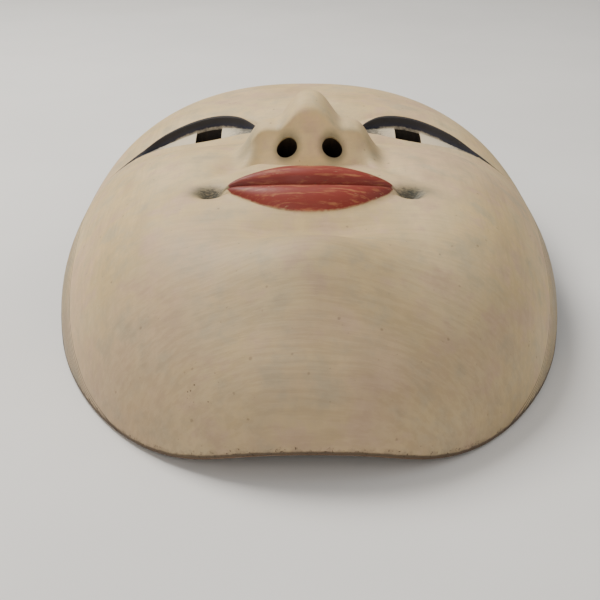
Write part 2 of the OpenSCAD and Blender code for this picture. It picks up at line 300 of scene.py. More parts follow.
class Plan:
    """Where a sheet's points lie, and how its faces join them."""

    def __init__(self, half_cols, rows, rings):
        cols = np.concatenate([-half_cols[:0:-1], half_cols])
        nu, nv = len(cols) - 1, len(rows) - 1
        s, t = np.meshgrid(cols / (PATCH * HALF_W), rows / (PATCH * HALF_H), indexing="ij")
        m = np.maximum(np.maximum(np.abs(s), np.abs(t)), 1e-9)
        k = 1 + ((np.abs(s) ** 5 + np.abs(t) ** 5) ** 0.2 / m - 1) * m * m
        x, y = (s * PATCH * HALF_W / k).ravel(), (t * PATCH * HALF_H / k).ravel()
        x = x * taper(y)
        y = bend(x, y)
        at = np.arange((nu + 1) * (nv + 1)).reshape(nu + 1, nv + 1)
        quads = [np.stack([at[:-1, :-1], at[1:, :-1], at[1:, 1:], at[:-1, 1:]], -1).reshape(-1, 4)]
        loop = np.concatenate([at[:-1, 0], at[-1, :-1], at[:0:-1, -1], at[0, :0:-1]])
        px, py = x[loop], y[loop]
        ex, ey = edge(px, py)
        us, vs, last, n = [x], [y], loop, len(x)
        for ring in range(1, rings + 1):
            w = math.sin(math.pi / 2 * ring / rings)
            if ring < rings:
                us.append(px + (ex - px) * w)
                vs.append(py + (ey - py) * w)
            now = n + np.arange(len(loop))
            n += len(loop)
            quads.append(np.stack([last, now, np.roll(now, -1), np.roll(last, -1)], -1))
            last = now
        self.u, self.v = np.concatenate(us), np.concatenate(vs)
        self.eu, self.ev = ex, ey
        self.faces = np.concatenate(quads)
        self.rim = last
        self.count = n


def unit(v):
    return v / np.linalg.norm(v, axis=-1, keepdims=True)


def normals(shape, u, v):
    h = np.clip(20 * (1 - rho(u, v)), 0.002, 1.2)
    a = shape(u + h, v) - shape(u - h, v)
    b = shape(u, v + h) - shape(u, v - h)
    return unit(np.cross(a, b))


def rim_normal(x, y, a, b):
    h = 0.01
    gx = rho(x + h, y, a, b) - rho(x - h, y, a, b)
    gy = rho(x, y + h, a, b) - rho(x, y - h, a, b)
    return unit(np.stack([gx, gy, 0 * gx], -1))


def rim_ring(plan, side, depth, z):
    """The ring of points at the rim: depth is measured into the wall."""
    if side == "front":
        x, y = plan.eu, plan.ev
        n = -rim_normal(x, y, HALF_W, HALF_H)
    else:
        x, y = edge(plan.eu, plan.ev, IN_W, IN_H)
        n = rim_normal(x, y, IN_W, IN_H)
    return np.stack([x, y, arch(plan.eu, plan.ev) + z], -1) + depth * n


def sheet(plan, side, depth, dents=None):
    shape = front if side == "front" else back
    p = shape(plan.u, plan.v)
    n = normals(shape, plan.u, plan.v)
    d = depth if dents is None else depth + dents(p)[:, None]
    p = p - d * n if side == "front" else p + d * n
    return np.concatenate([p, rim_ring(plan, side, depth, COAT_GAP)])


def ring_band(a, b):
    """Faces between two loops of the same or of half the length."""
    if len(a) == len(b):
        return np.stack([a, np.roll(a, -1), np.roll(b, -1), b], -1)[:, ::-1].tolist()
    out = []
    swap = len(a) < len(b)
    big, small = (b, a) if swap else (a, b)
    for j in range(len(small)):
        i, k = 2 * j, (j + 1) % len(small)
        f = [big[i], big[(i + 1) % len(big)], big[(i + 2) % len(big)], small[k], small[j]]
        out.append(f if swap else f[::-1])
    return out


def shell_faces(outer, inner, rings=()):
    """Outer sheet, turned inner sheet and the loops between their rims."""
    n = outer.count
    faces = outer.faces.tolist() + (inner.faces[:, ::-1] + n).tolist()
    loops = [outer.rim] + list(rings) + [inner.rim + n]
    for a, b in zip(loops, loops[1:]):
        faces += ring_band(a, b)
    return faces


def new_mesh(name, points, faces):
    """A closed mesh of one skin, its faces turned outwards."""
    mesh = bpy.data.meshes.new(name)
    mesh.from_pydata((np.asarray(points) * MM).tolist(), [], faces)
    work = bmesh.new()
    work.from_mesh(mesh)
    bmesh.ops.recalc_face_normals(work, faces=work.faces)
    if work.calc_volume(signed=True) < 0:
        bmesh.ops.reverse_faces(work, faces=work.faces)
    work.to_mesh(mesh)
    work.free()
    mesh.update()
    mesh.polygons.foreach_set("use_smooth", [True] * len(mesh.polygons))
    obj = bpy.data.objects.new(name, mesh)
    bpy.context.scene.collection.objects.link(obj)
    return obj


def cut(obj, cutters):
    """Cuts every closed cutter from obj and keeps the result as a plain mesh."""
    for tool in cutters:
        mod = obj.modifiers.new("cut", "BOOLEAN")
        mod.operation = "DIFFERENCE"
        mod.solver = "EXACT"
        mod.object = tool
    bpy.context.view_layer.update()
    depsgraph = bpy.context.evaluated_depsgraph_get()
    mesh = bpy.data.meshes.new_from_object(obj.evaluated_get(depsgraph))
    obj.modifiers.clear()
    old, obj.data = obj.data, mesh
    bpy.data.meshes.remove(old)
    mesh.set_sharp_from_angle(angle=math.radians(40))
    return obj


def prism(name, outline, low, high):
    n = len(outline)
    pts = [(x, y, low) for x, y in outline] + [(x, y, high) for x, y in outline]
    faces = [list(range(n))[::-1], list(range(n, 2 * n))]
    faces += [[i, (i + 1) % n, n + (i + 1) % n, n + i] for i in range(n)]
    return new_mesh(name, pts, faces)


def tube_cutter(name, start, end, rx, ry=None, n=40):
    """An elliptic rod from start to end; ry is measured up the face."""
    a, b = Vector(start), Vector(end)
    along = (b - a).normalized()
    side = Vector((1, 0, 0)) if abs(along.x) < 0.9 else Vector((0, 1, 0))
    up = along.cross(side).normalized()
    side = up.cross(along).normalized()
    ring = [(math.cos(2 * math.pi * k / n), math.sin(2 * math.pi * k / n)) for k in range(n)]
    pts = [p + side * rx * c + up * (ry or rx) * s for p in (a, b) for c, s in ring]
    faces = [list(range(n))[::-1], list(range(n, 2 * n))]
    faces += [[i, (i + 1) % n, n + (i + 1) % n, n + i] for i in range(n)]
    return new_mesh(name, pts, faces)


def pupil_outline(side):
    """The square of the pupil, its top and bottom bent along the lids."""
    xs = np.linspace(PUPIL_X - PUPIL_W / 2, PUPIL_X + PUPIL_W / 2, 9)
    _, lo, up = eye_lines(xs)
    pts = list(zip(xs, lo + PUPIL_SILL)) + list(zip(xs[::-1], up[::-1] - PUPIL_HEAD))
    pts = [(side * x, y) for x, y in pts]
    return pts if side > 0 else pts[::-1]


def slot_outline():
    """The mouth's opening, along the lower lip and over in an arc."""
    xs = np.linspace(-SLOT_W, SLOT_W, 25)
    low = lip_lines(xs)[3]
    top = low + 0.1 + 2.2 * np.sqrt(np.clip(1.02 - (xs / SLOT_W) ** 2, 0, 1))
    return list(zip(xs, low + 0.1)) + list(zip(xs[::-1], top[::-1]))


CUT_LOW, CUT_HIGH = 15, 75
NOSTRIL_R = (2.6, 2.2)
CORD_RUN = (46, 80)


def face_cutters():
    """Closed tools for the mouth slot, the pupils, the nostrils and the cord holes."""
    tools = [prism("slot", slot_outline(), CUT_LOW, CUT_HIGH)]
    for s in (-1, 1):
        tools.append(prism("pupil", pupil_outline(s), CUT_LOW, CUT_HIGH))
        ends = [(s * x, y, z) for x, y, z in NOSTRIL_LINE]
        tools.append(tube_cutter("nostril", *ends, *NOSTRIL_R))
        ends = [(s * x, HOLE_Y, HOLE_Z) for x in CORD_RUN]
        tools.append(tube_cutter("cord_hole", *ends, HOLE_R + LINING))
    return tools


def drop(objects):
    """Removes objects and the meshes that only they used."""
    for o in objects:
        mesh = o.data
        bpy.data.objects.remove(o)
        if mesh.users == 0:
            bpy.data.meshes.remove(mesh)


def open_holes(obj):
    """Cuts the face's holes through a piece."""
    tools = face_cutters()
    cut(obj, tools)
    drop(tools)


# ---------------------------------------------------------------------------
# Settings: the sizes and colours that a user would change.


def length(name, text, value, low=0.0001, high=0.3):
    return FloatProperty(name=name, description=text, default=value, min=low, max=high, unit="LENGTH")


def colour(name, text, value):
    return FloatVectorProperty(
        name=name, description=text, default=value, size=3, min=0, max=1, subtype="COLOR"
    )


class NohCarvingSettings(bpy.types.PropertyGroup):
    """Sizes of the block, its coats and its chisel marks."""

    coat: length("Chalk coat", "Thickness of the chalk coat on the face", COAT * MM)
    lacquer: length("Lacquer", "Thickness of the lacquer on the back", LACQUER * MM)
    gouge_depth: length("Gouge depth", "Depth of the chisel marks in the hollow", 0.00034)
    gouge_width: length("Gouge width", "Width of one chisel mark", 0.0062)
    gouge_length: length("Gouge length", "Length of one chisel mark", 0.012)
    seed: IntProperty(name="Seed", description="Picks another scatter of chisel marks", default=7)


class NohPaintSettings(bpy.types.PropertyGroup):
    """Colours of the coats and the painting."""

    ivory: colour("Ivory", "Chalk coat where it is clean", (0.76, 0.585, 0.325))
    ochre: colour("Ochre", "Chalk coat where it has yellowed", (0.66, 0.475, 0.225))
    rose: colour("Rose", "Chalk coat where it has pinkened", (0.66, 0.455, 0.30))
    # Grime at the rim, and also painted shade that darkens the coat towards the chin.
    grime_and_shade: colour("Grime", "Handling and age in the hollows and at the rim", (0.20, 0.15, 0.10))
    shade: colour("Shade", "Brushed shading beside eyes, nose and mouth", (0.15, 0.14, 0.09))
    moss: colour("Cool patches", "Chalk coat where it has greyed", (0.49, 0.43, 0.29))
    white: colour("Eye white", "Paler chalk beside the pupils", (0.70, 0.63, 0.50))
    ink: colour("Ink", "Ink of the lids and the hair", (0.012, 0.013, 0.02))
    lips: colour("Lips", "Vermilion of the lips", (0.25, 0.036, 0.024))
    lip_worn: colour("Worn lips", "Vermilion worn thin", (0.46, 0.17, 0.07))
    lacquer: colour("Lacquer", "Lacquer of the hollow back", (0.030, 0.012, 0.007))
    wood: colour("Cypress", "Bare cypress", (0.46, 0.27, 0.12))
    cloth: colour("Pad cloth", "Cotton cover of the pads", (0.50, 0.44, 0.33))


def pad_size(name, value):
    text = "Width, height and thickness"
    return FloatVectorProperty(name=name, description=text, default=value, size=3, unit="LENGTH")


class NohPadSettings(bpy.types.PropertyGroup):
    """Sizes of the pads and their sewing."""

    brow_size: pad_size("Forehead pad", (0.062, 0.026, 0.009))
    cheek_size: pad_size("Cheek pad", (0.020, 0.034, 0.007))
    stitch: length("Stitch", "Length of one stitch", 0.0016)
    thread: length("Thread", "Radius of the sewing thread", 0.00022)
    gap: length("Gap", "Room between a pad and the lacquer behind it", 0.0003)


class NohStageSettings(bpy.types.PropertyGroup):
    """Camera and light."""

    elevation: FloatProperty(
        name="Elevation",
        description="Height of the camera over the chin",
        default=math.radians(26),
        subtype="ANGLE",
    )
    distance: length("Distance", "Camera to the middle of the mask", 0.28, high=2)
    lens: FloatProperty(name="Lens", description="Focal length in millimetres", default=62.5, min=10)
    key: FloatProperty(name="Key light", description="Power of the soft key light", default=5.9, min=0)


SETTINGS = {
    "noh_carving": NohCarvingSettings,
    "noh_paint": NohPaintSettings,
    "noh_pads": NohPadSettings,
    "noh_stage": NohStageSettings,
}


# ---------------------------------------------------------------------------
# Node helpers and the shared effects.


class Nodes:
    """Short spellings for building one node tree."""

    def __init__(self, tree):
        self.tree = tree

    def put(self, socket, value):
        if value is None:
            return
        if isinstance(value, bpy.types.NodeSocket):
            self.tree.links.new(value, socket)
        elif hasattr(socket, "default_value"):
            if isinstance(value, (tuple, list)) or hasattr(value, "__len__"):
                value = tuple(value)
                if len(value) == 3 and socket.type == "RGBA":
                    value = (*value, 1)
            socket.default_value = value

    def add(self, kind, values=None, **settings):
        node = self.tree.nodes.new(kind)
        for key, value in settings.items():
            setattr(node, key, value)
        for key, value in (values or {}).items():
            self.put(node.inputs[key], value)
        return node

    def math(self, op, a, b=None, c=None, clamp=False):
        node = self.add("ShaderNodeMath", operation=op, use_clamp=clamp)
        for i, value in enumerate((a, b, c)):
            self.put(node.inputs[i], value)
        return node.outputs[0]

    def vector(self, op, a, b=None):
        node = self.add("ShaderNodeVectorMath", operation=op)
        self.put(node.inputs[0], a)
        self.put(node.inputs[1], b)
        return node.outputs[0]

    def swing(self, value, reach):
        """Centres a value that runs from 0 to 1 on zero, then scales it."""
        return self.math("MULTIPLY", self.math("SUBTRACT", value, 0.5), reach)

    def ramp(self, value, low, high, to_low=0.0, to_high=1.0, soft=True):
        values = {"From Min": low, "From Max": high, "To Min": to_low, "To Max": to_high}
        node = self.add(
            "ShaderNodeMapRange", values, interpolation_type="SMOOTHSTEP" if soft else "LINEAR"
        )
        self.put(node.inputs["Value"], value)
        return node.outputs[0]

    def mix(self, factor, a, b, blend="MIX"):
        node = self.add("ShaderNodeMix", data_type="RGBA", blend_type=blend, clamp_factor=True)
        self.put(node.inputs[0], factor)
        self.put(node.inputs[6], a)
        self.put(node.inputs[7], b)
        return node.outputs[2]

    def noise(self, coord, scale, detail=3.0, rough=0.55, distortion=0.0):
        values = {"Scale": scale, "Detail": detail, "Roughness": rough, "Distortion": distortion}
        node = self.add("ShaderNodeTexNoise", values)
        self.put(node.inputs["Vector"], coord)
        return node.outputs[0]

    def stretched(self, coord, scale):
        return self.vector("MULTIPLY", coord, scale)

    def attribute(self, name):
        return self.add("ShaderNodeAttribute", attribute_name=name).outputs["Fac"]

    def place(self):
        """Object coordinates in millimetres."""
        coord = self.add("ShaderNodeTexCoord").outputs["Object"]
        return self.vector("MULTIPLY", coord, (1000, 1000, 1000))

    def group(self, tree, **values):
        node = self.add("ShaderNodeGroup", node_tree=tree)
        for key, value in values.items():
            self.put(node.inputs[key.replace("_", " ")], value)
        return node


def make_group(name, inputs, outputs, fill):
    """A shader group: fill(nodes, inputs by name) returns its outputs in order."""
    tree = bpy.data.node_groups.new(name, "ShaderNodeTree")
    kinds = {"V": "NodeSocketVector", "F": "NodeSocketFloat", "C": "NodeSocketColor"}
    for key, kind, value in inputs:
        socket = tree.interface.new_socket(key, in_out="INPUT", socket_type=kinds[kind])
        if value is not None:
            socket.default_value = value
    for key, kind in outputs:
        tree.interface.new_socket(key, in_out="OUTPUT", socket_type=kinds[kind])
    nodes = Nodes(tree)
    start, end = nodes.add("NodeGroupInput"), nodes.add("NodeGroupOutput")
    results = fill(nodes, {key: start.outputs[key] for key, _, _ in inputs})
    for (key, _), value in zip(outputs, results):
        nodes.put(end.inputs[key], value)
    return tree


def build_groups():
    """The effects that several finishes share; every coordinate is in millimetres."""
    groups = {}

    def patches(n, i):
        wide = n.noise(n.vector("MULTIPLY", i["Coord"], (0.035, 0.03, 0.035)), 1.0, 4, 0.55, 0.4)
        small = n.noise(n.vector("MULTIPLY", i["Coord"], (0.22, 0.16, 0.2)), 1.0, 4, 0.6)
        both = n.math("MULTIPLY_ADD", small, 0.4, n.math("MULTIPLY", wide, 0.8))
        return (
            n.ramp(n.math("ADD", both, i["Shift"]), 0.46, 0.74),
            n.ramp(n.noise(n.vector("ADD", i["Coord"], (90, 40, 10)), 0.028, 3, 0.5), 0.44, 0.68),
            small,
        )

    groups["patches"] = make_group(
        "Age patches",
        [("Coord", "V", None), ("Shift", "F", 0.0)],
        [("Wide", "F"), ("Second", "F"), ("Fine", "F")],
        patches,
    )

    def brush(n, i):
        wobble = n.noise(n.vector("MULTIPLY", i["Coord"], (0.06, 0.06, 0.06)), 1.0, 1)
        bent = n.vector("ADD", i["Coord"], n.vector("MULTIPLY", wobble, (0, 2.2, 0)))
        lines = n.noise(n.vector("MULTIPLY", bent, (0.05, 1.0, 0.35)), i["Spacing"], 5, 0.65)
        fine = n.noise(n.vector("MULTIPLY", bent, (0.3, 3.4, 1.2)), i["Spacing"], 2, 0.5)
        height = n.math("MULTIPLY_ADD", fine, 0.3, n.math("MULTIPLY", lines, 0.7))
        return height, n.ramp(lines, 0.4, 0.62)

    groups["brush"] = make_group(
        "Brush lines",
        [("Coord", "V", None), ("Spacing", "F", 1.0)],
        [("Height", "F"), ("Mask", "F")],
        brush,
    )

    def specks(n, i):
        cells = n.add("ShaderNodeTexVoronoi", {"Scale": i["Density"], "Randomness": 1.0})
        ragged = n.vector("MULTIPLY", n.noise(i["Coord"], 2.4, 2), (0.5, 0.4, 0.45))
        n.put(cells.inputs["Vector"], n.vector("ADD", i["Coord"], ragged))
        pick = n.add("ShaderNodeSeparateColor", {"Color": cells.outputs["Color"]})
        kept = n.math("GREATER_THAN", pick.outputs[0], i["Rare"])
        size = n.math("MULTIPLY", i["Size"], n.math("ADD", pick.outputs[1], 0.35))
        spot = n.ramp(n.math("DIVIDE", cells.outputs["Distance"], size), 1.0, 0.5)
        return (n.math("MULTIPLY", spot, kept),)

    groups["specks"] = make_group(
        "Specks",
        [("Coord", "V", None), ("Density", "F", 0.3), ("Size", "F", 0.1), ("Rare", "F", 0.7)],
        [("Mask", "F")],
        specks,
    )

    def wear(n, i):
        grain = n.noise(i["Coord"], 0.5, 4, 0.7)
        chip = n.noise(i["Coord"], 1.6, 3, 0.7)
        reach = n.math("MULTIPLY", i["Reach"], n.ramp(grain, 0.3, 0.75, 0.25, 1.7))
        near = n.ramp(n.math("DIVIDE", i["Distance"], reach), 1.0, 0.1)
        band = n.ramp(n.math("DIVIDE", i["Distance"], reach), 0.75, 0.6)
        chips = n.math("MULTIPLY", band, n.ramp(chip, 0.57, 0.63))
        return near, chips

    groups["wear"] = make_group(
        "Edge wear",
        [("Coord", "V", None), ("Distance", "F", 1.0), ("Reach", "F", 2.0)],
        [("Dirt", "F"), ("Chips", "F")],
        wear,
    )

    def grain(n, i):
        bend = n.noise(n.vector("MULTIPLY", i["Coord"], (0.05, 0.012, 0.05)), 1.0, 2)
        moved = n.vector("ADD", i["Coord"], n.vector("MULTIPLY", bend, (7, 0, 7)))
        wave = {"Scale": 0.16, "Distortion": 1.2, "Detail": 2.0, "Detail Scale": 0.4}
        rings = n.add("ShaderNodeTexWave", wave)
        rings.bands_direction = "X"
        n.put(rings.inputs["Vector"], n.vector("MULTIPLY", moved, (1, 0.03, 0.6)))
        fibre = n.noise(n.vector("MULTIPLY", i["Coord"], (2.2, 0.09, 2.2)), 1.0, 4, 0.6)
        return n.math("MULTIPLY_ADD", fibre, 0.35, n.math("MULTIPLY", rings.outputs["Fac"], 0.65)), fibre

    groups["grain"] = make_group(
        "Straight grain", [("Coord", "V", None)], [("Mask", "F"), ("Fibre", "F")], grain
    )

    def weave(n, i):
        parts = n.add("ShaderNodeSeparateXYZ")
        n.put(parts.inputs[0], i["Coord"])
        turn = n.math("DIVIDE", 6.28318, i["Thread"])
        a = n.math("SINE", n.math("MULTIPLY", parts.outputs[0], turn))
        b = n.math("SINE", n.math("MULTIPLY", parts.outputs[1], turn))
        over = n.math("MULTIPLY", a, b)
        thread = n.math("MAXIMUM", n.math("ABSOLUTE", a), n.math("ABSOLUTE", b))
        slub = n.noise(n.vector("MULTIPLY", i["Coord"], (0.15, 2.5, 1)), 1.0, 3, 0.6)
        height = n.math("MULTIPLY_ADD", thread, 0.5, n.math("MULTIPLY", slub, 0.3))
        height = n.math("MULTIPLY_ADD", over, 0.35, height)
        return height, n.ramp(height, 0.1, 1.0), slub

    groups["weave"] = make_group(
        "Plain weave",
        [("Coord", "V", None), ("Thread", "F", 0.6)],
        [("Height", "F"), ("Mask", "F"), ("Slub", "F")],
        weave,
    )
    return groups


GROUPS = {}


def start_material(name):
    """A new material, its node helper and its Principled shader."""
    if not GROUPS:
        GROUPS.update(build_groups())
    material = bpy.data.materials.new(name)
    material.use_nodes = True
    nodes = Nodes(material.node_tree)
    shader = material.node_tree.nodes["Principled BSDF"]
    return material, nodes, shader


def bump(nodes, shader, height, strength, distance):
    node = nodes.add("ShaderNodeBump", {"Strength": strength, "Distance": distance * MM})
    nodes.put(node.inputs["Height"], height)
    nodes.put(shader.inputs["Normal"], node.outputs[0])


FEATHER_INK = (0.035, 0.037, 0.034)
HAIR_INK = (0.028, 0.024, 0.020)
HAIR_WASH = (0.034, 0.029, 0.024)
NICK_DIRT = (0.05, 0.035, 0.025)
BARE_EDGE = (0.045, 0.026, 0.016)


def coat_material(paint):
    """Chalk coat with the painted lids, brows, hair, lips and shading."""
    material, n, shader = start_material("Painted chalk coat")
    place = n.place()
    where = n.add("ShaderNodeSeparateXYZ", {0: place}).outputs
    ages = n.group(GROUPS["patches"], Coord=place).outputs
    brush = n.group(GROUPS["brush"], Coord=place, Spacing=1.15).outputs

    body = n.mix(n.math("MULTIPLY", ages["Wide"], 0.75), paint.ivory[:], paint.ochre[:])
    body = n.mix(n.math("MULTIPLY", ages["Second"], 0.55), body, paint.rose[:])
    blots = n.noise(n.vector("ADD", place, (13, 57, 29)), 0.11, 5, 0.62)
    body = n.mix(n.ramp(blots, 0.49, 0.70, 0, 0.55), body, paint.moss[:])
    body = n.mix(n.ramp(blots, 0.50, 0.32, 0, 0.75), body, paint.rose[:])
    pale = n.ramp(ages["Fine"], 0.33, 0.72, 0.86, 1.06, soft=False)
    body = n.vector("MULTIPLY", body, pale)
    low = n.ramp(where[1], -45.0, -95.0)
    turned = n.add("ShaderNodeCombineXYZ", {0: where[1], 1: where[0], 2: where[2]}).outputs[0]
    upright = n.group(GROUPS["brush"], Coord=turned, Spacing=1.0).outputs
    flank = n.ramp(n.math("ABSOLUTE", where[0]), 22, 50)
    level = n.math("MULTIPLY", brush["Mask"], n.ramp(low, 0, 1, 0.45, 1.0, soft=False))
    steep = n.math("MULTIPLY", upright["Mask"], n.ramp(flank, 0, 1, 0.2, 0.8, soft=False))
    strokes = n.math("MAXIMUM", level, steep)
    lines = n.math("MULTIPLY", strokes, 0.44)
    body = n.mix(lines, body, n.vector("MULTIPLY", body, (0.74, 0.71, 0.66)))
    # Darker towards the chin: part grime, part painted shade under the face.
    body = n.mix(n.math("MULTIPLY", low, 0.44), body, paint.grime_and_shade[:])

    # brushed shading, the whites of the eyes, inked teeth and feathered corners
    soft = n.noise(place, 0.35, 3, 0.6)
    shade = n.math("MULTIPLY", n.attribute("shade"), n.ramp(soft, 0.2, 0.7, 0.65, 1.1, soft=False))
    body = n.mix(n.math("MULTIPLY", shade, 0.9, clamp=True), body, paint.shade[:])

    body = n.mix(n.ramp(n.attribute("white"), 0.2, 0.8, 0, 0.6), body, paint.white[:])
    body = n.mix(n.ramp(n.attribute("teeth"), -0.6, -0.1), body, paint.ink[:])

    hairs = n.noise(n.stretched(place, (1.1, 5.5, 1.6)), 1.0, 3, 0.6)
    hairs = n.swing(hairs, 1.5)
    feather = n.ramp(n.math("ADD", n.attribute("feather"), hairs), 0.38, 0.95, 0, 0.85)
    feather = n.math("MULTIPLY", feather, n.ramp(n.attribute("feather"), 0.02, 0.2))
    body = n.mix(feather, body, FEATHER_INK)

    # lips, redder at the corners and worn through in streaks
    lip = n.attribute("lip")
    ragged = n.swing(n.noise(place, 0.8, 4, 0.65), 0.34)
    on_lip = n.ramp(n.math("ADD", lip, ragged), -0.10, 0.22)
    streaks = n.noise(n.stretched(place, (0.16, 1.5, 0.8)), 1.0, 5, 0.65)
    red = n.mix(n.ramp(streaks, 0.50, 0.68, 0, 0.75), paint.lips[:], paint.lip_worn[:])
    deep = n.vector("MULTIPLY", paint.lips[:], (0.42, 0.5, 0.6))
    red = n.mix(n.ramp(n.math("ABSOLUTE", where[0]), 9, MOUTH_W, 0, 0.55), red, deep)
    thin = n.ramp(n.noise(n.stretched(place, (0.3, 2.2, 1)), 1.0, 4, 0.7), 0.62, 0.74, 0, 0.6)
    body = n.mix(n.math("MULTIPLY", on_lip, n.math("SUBTRACT", 1.0, thin)), body, red)

    # ink: the lid line and its tail, the brows and the strands of hair
    hand = n.swing(n.noise(place, 0.7, 3, 0.6), 0.35)
    lid = n.ramp(n.math("ADD", n.attribute("lid"), hand), -0.12, 0.14)
    tint = n.mix(n.ramp(n.attribute("lid"), 0.5, 0.0, 0, 0.5), paint.ink[:], (0.014, 0.020, 0.060))
    body = n.mix(n.math("MULTIPLY", lid, 0.97), body, tint)
    dabs = n.noise(n.stretched(place, (0.5, 1.6, 1)), 1.0, 5, 0.7)
    brow = n.math("MULTIPLY", n.attribute("brow"), n.ramp(dabs, 0.25, 0.75, 0.35, 1.0))
    body = n.mix(brow, body, paint.ink[:])

    hair = n.attribute("hair")
    wander = n.swing(n.noise(n.stretched(place, (0.05, 0.05, 0.05)), 1.0, 2), 1.6)
    across = n.math("ADD", hair, wander)
    strand = n.math("SINE", n.math("MULTIPLY", across, 5.2))
    strand = n.ramp(strand, 0.35, 0.9)
    mass = n.ramp(n.math("ADD", n.attribute("mass"), wander), 0.0, 1.3)
    loose = n.math("MULTIPLY", n.ramp(across, 0.0, 0.3), n.math("SUBTRACT", 1.0, mass))
    loose = n.math("MULTIPLY", strand, loose)
    combed = n.add("ShaderNodeCombineXYZ", {0: across, 1: n.math("MULTIPLY", where[1], 0.02)})
    fine = n.noise(n.vector("MULTIPLY", combed.outputs[0], (3.2, 1, 1)), 1.0, 3, 0.7)
    wash = n.mix(n.ramp(fine, 0.40, 0.60), HAIR_WASH, paint.ink[:])
    body = n.mix(n.math("MULTIPLY", n.ramp(hair, 0.0, 6.0), 0.35), body, (0.22, 0.18, 0.13))
    body = n.mix(n.math("MULTIPLY", mass, 0.93), body, wash)
    body = n.mix(n.math("MULTIPLY", loose, 0.88), body, HAIR_INK)

    # specks, a cluster of nicks low on one cheek, and the worn rim
    dots = n.group(GROUPS["specks"], Coord=place, Density=0.34, Size=0.13, Rare=0.62).outputs[0]
    aside = n.vector("ADD", place, (31, 17, 5))
    tiny = n.group(GROUPS["specks"], Coord=aside, Density=0.8, Size=0.14, Rare=0.86).outputs[0]
    marks = n.math("ADD", n.math("MULTIPLY", dots, 0.40), n.math("MULTIPLY", tiny, 0.4), clamp=True)
    spot = n.vector("SUBTRACT", place, NICKS_AT)
    near = n.add("ShaderNodeVectorMath", {0: spot}, operation="LENGTH").outputs["Value"]
    long = n.stretched(place, (1, 0.55, 1))
    nicks = n.group(GROUPS["specks"], Coord=long, Density=1.35, Size=0.24, Rare=0.5).outputs[0]
    nicks = n.math("MULTIPLY", nicks, n.ramp(near, 6.2, 2.6))
    worn = n.group(GROUPS["wear"], Coord=place, Distance=n.attribute("rim"), Reach=1.5).outputs
    body = n.mix(marks, body, (0.12, 0.08, 0.05))
    body = n.mix(n.math("MULTIPLY", nicks, 0.75), body, NICK_DIRT)
    body = n.mix(n.math("MULTIPLY", worn["Dirt"], 0.55), body, paint.grime_and_shade[:])
    body = n.mix(n.math("MULTIPLY", worn["Chips"], 0.8), body, (0.06, 0.035, 0.02))
    bare = n.ramp(n.math("ADD", n.attribute("rim"), n.math("MULTIPLY", soft, -0.5)), 0.45, 0.1, 0, 0.8)
    body = n.mix(bare, body, BARE_EDGE)
    n.put(shader.inputs["Base Color"], body)

    rough = n.ramp(ages["Fine"], 0.3, 0.7, 0.54, 0.68, soft=False)
    glossier = n.math("SUBTRACT", on_lip, n.math("MULTIPLY", lid, 1.8))
    rough = n.math("SUBTRACT", rough, n.math("MULTIPLY", glossier, 0.10))
    n.put(shader.inputs["Roughness"], rough)
    shader.inputs["Specular IOR Level"].default_value = 0.34
    height = n.math("MULTIPLY", brush["Height"], n.ramp(low, 0, 1, 0.5, 1.0, soft=False))
    height = n.math("MULTIPLY_ADD", n.noise(place, 0.16, 2), 0.5, height)
    height = n.math("SUBTRACT", height, n.math("MULTIPLY", n.math("ADD", nicks, worn["Chips"]), 1.2))
    height = n.math("MULTIPLY_ADD", n.math("MAXIMUM", lid, loose), 0.25, height)
    bump(n, shader, height, 0.35, 0.22)
    return material


def lacquer_material(paint):
    """Dark brown lacquer, brushed thin over the chisel marks and rubbed on their ridges."""
    material, n, shader = start_material("Brushed lacquer")
    place = n.place()
    ages = n.group(GROUPS["patches"], Coord=place).outputs
    fibre = n.group(GROUPS["grain"], Coord=place).outputs
    body = n.mix(n.math("MULTIPLY", ages["Wide"], 0.7), paint.lacquer[:], (0.062, 0.026, 0.012))
    body = n.mix(n.math("MULTIPLY", fibre["Mask"], 0.25), body, (0.085, 0.04, 0.02))
    rub = n.math("MULTIPLY", n.ramp(n.attribute("ridge"), 0.72, 1.0), n.ramp(ages["Fine"], 0.4, 0.65))
    body = n.mix(n.math("MULTIPLY", rub, 0.55), body, (0.17, 0.085, 0.038))
    dust = n.group(GROUPS["specks"], Coord=place, Density=0.5, Size=0.12, Rare=0.8).outputs[0]
    body = n.mix(n.math("MULTIPLY", dust, 0.35), body, (0.22, 0.17, 0.12))
    n.put(shader.inputs["Base Color"], body)
    n.put(shader.inputs["Roughness"], n.ramp(ages["Fine"], 0.3, 0.7, 0.30, 0.5, soft=False))
    n.put(shader.inputs["Coat Weight"], n.ramp(ages["Wide"], 0, 1, 0.35, 0.12))
    shader.inputs["Coat Roughness"].default_value = 0.28
    height = n.math("MULTIPLY_ADD", fibre["Fibre"], 0.5, n.noise(place, 0.5, 3))
    bump(n, shader, height, 0.3, 0.15)
    return material


def wood_material(paint):
    """Bare cypress: straight grain, darkened by handling at the rim."""
    material, n, shader = start_material("Carved cypress")
    place = n.place()
    grain = n.group(GROUPS["grain"], Coord=place).outputs
    ages = n.group(GROUPS["patches"], Coord=place).outputs
    body = n.mix(grain["Mask"], paint.wood[:], n.vector("MULTIPLY", paint.wood[:], (0.55, 0.48, 0.4)))
    where = n.add("ShaderNodeSeparateXYZ", {0: place}).outputs
    low = n.ramp(where[2], 9.0, 0.0, 0.35, 0.8)
    body = n.mix(low, body, (0.085, 0.045, 0.025))
    body = n.mix(n.math("MULTIPLY", ages["Wide"], 0.4), body, (0.05, 0.03, 0.02))
    # Ink and painted shade: the walls of the holes go near-black, as if no light reached inside.
    body = n.mix(n.attribute("tunnel"), body, n.vector("MULTIPLY", body, (0.05, 0.05, 0.055)))
    n.put(shader.inputs["Base Color"], body)
    n.put(shader.inputs["Roughness"], n.ramp(grain["Fibre"], 0.3, 0.7, 0.5, 0.72, soft=False))
    bump(n, shader, grain["Mask"], 0.4, 0.2)
    return material


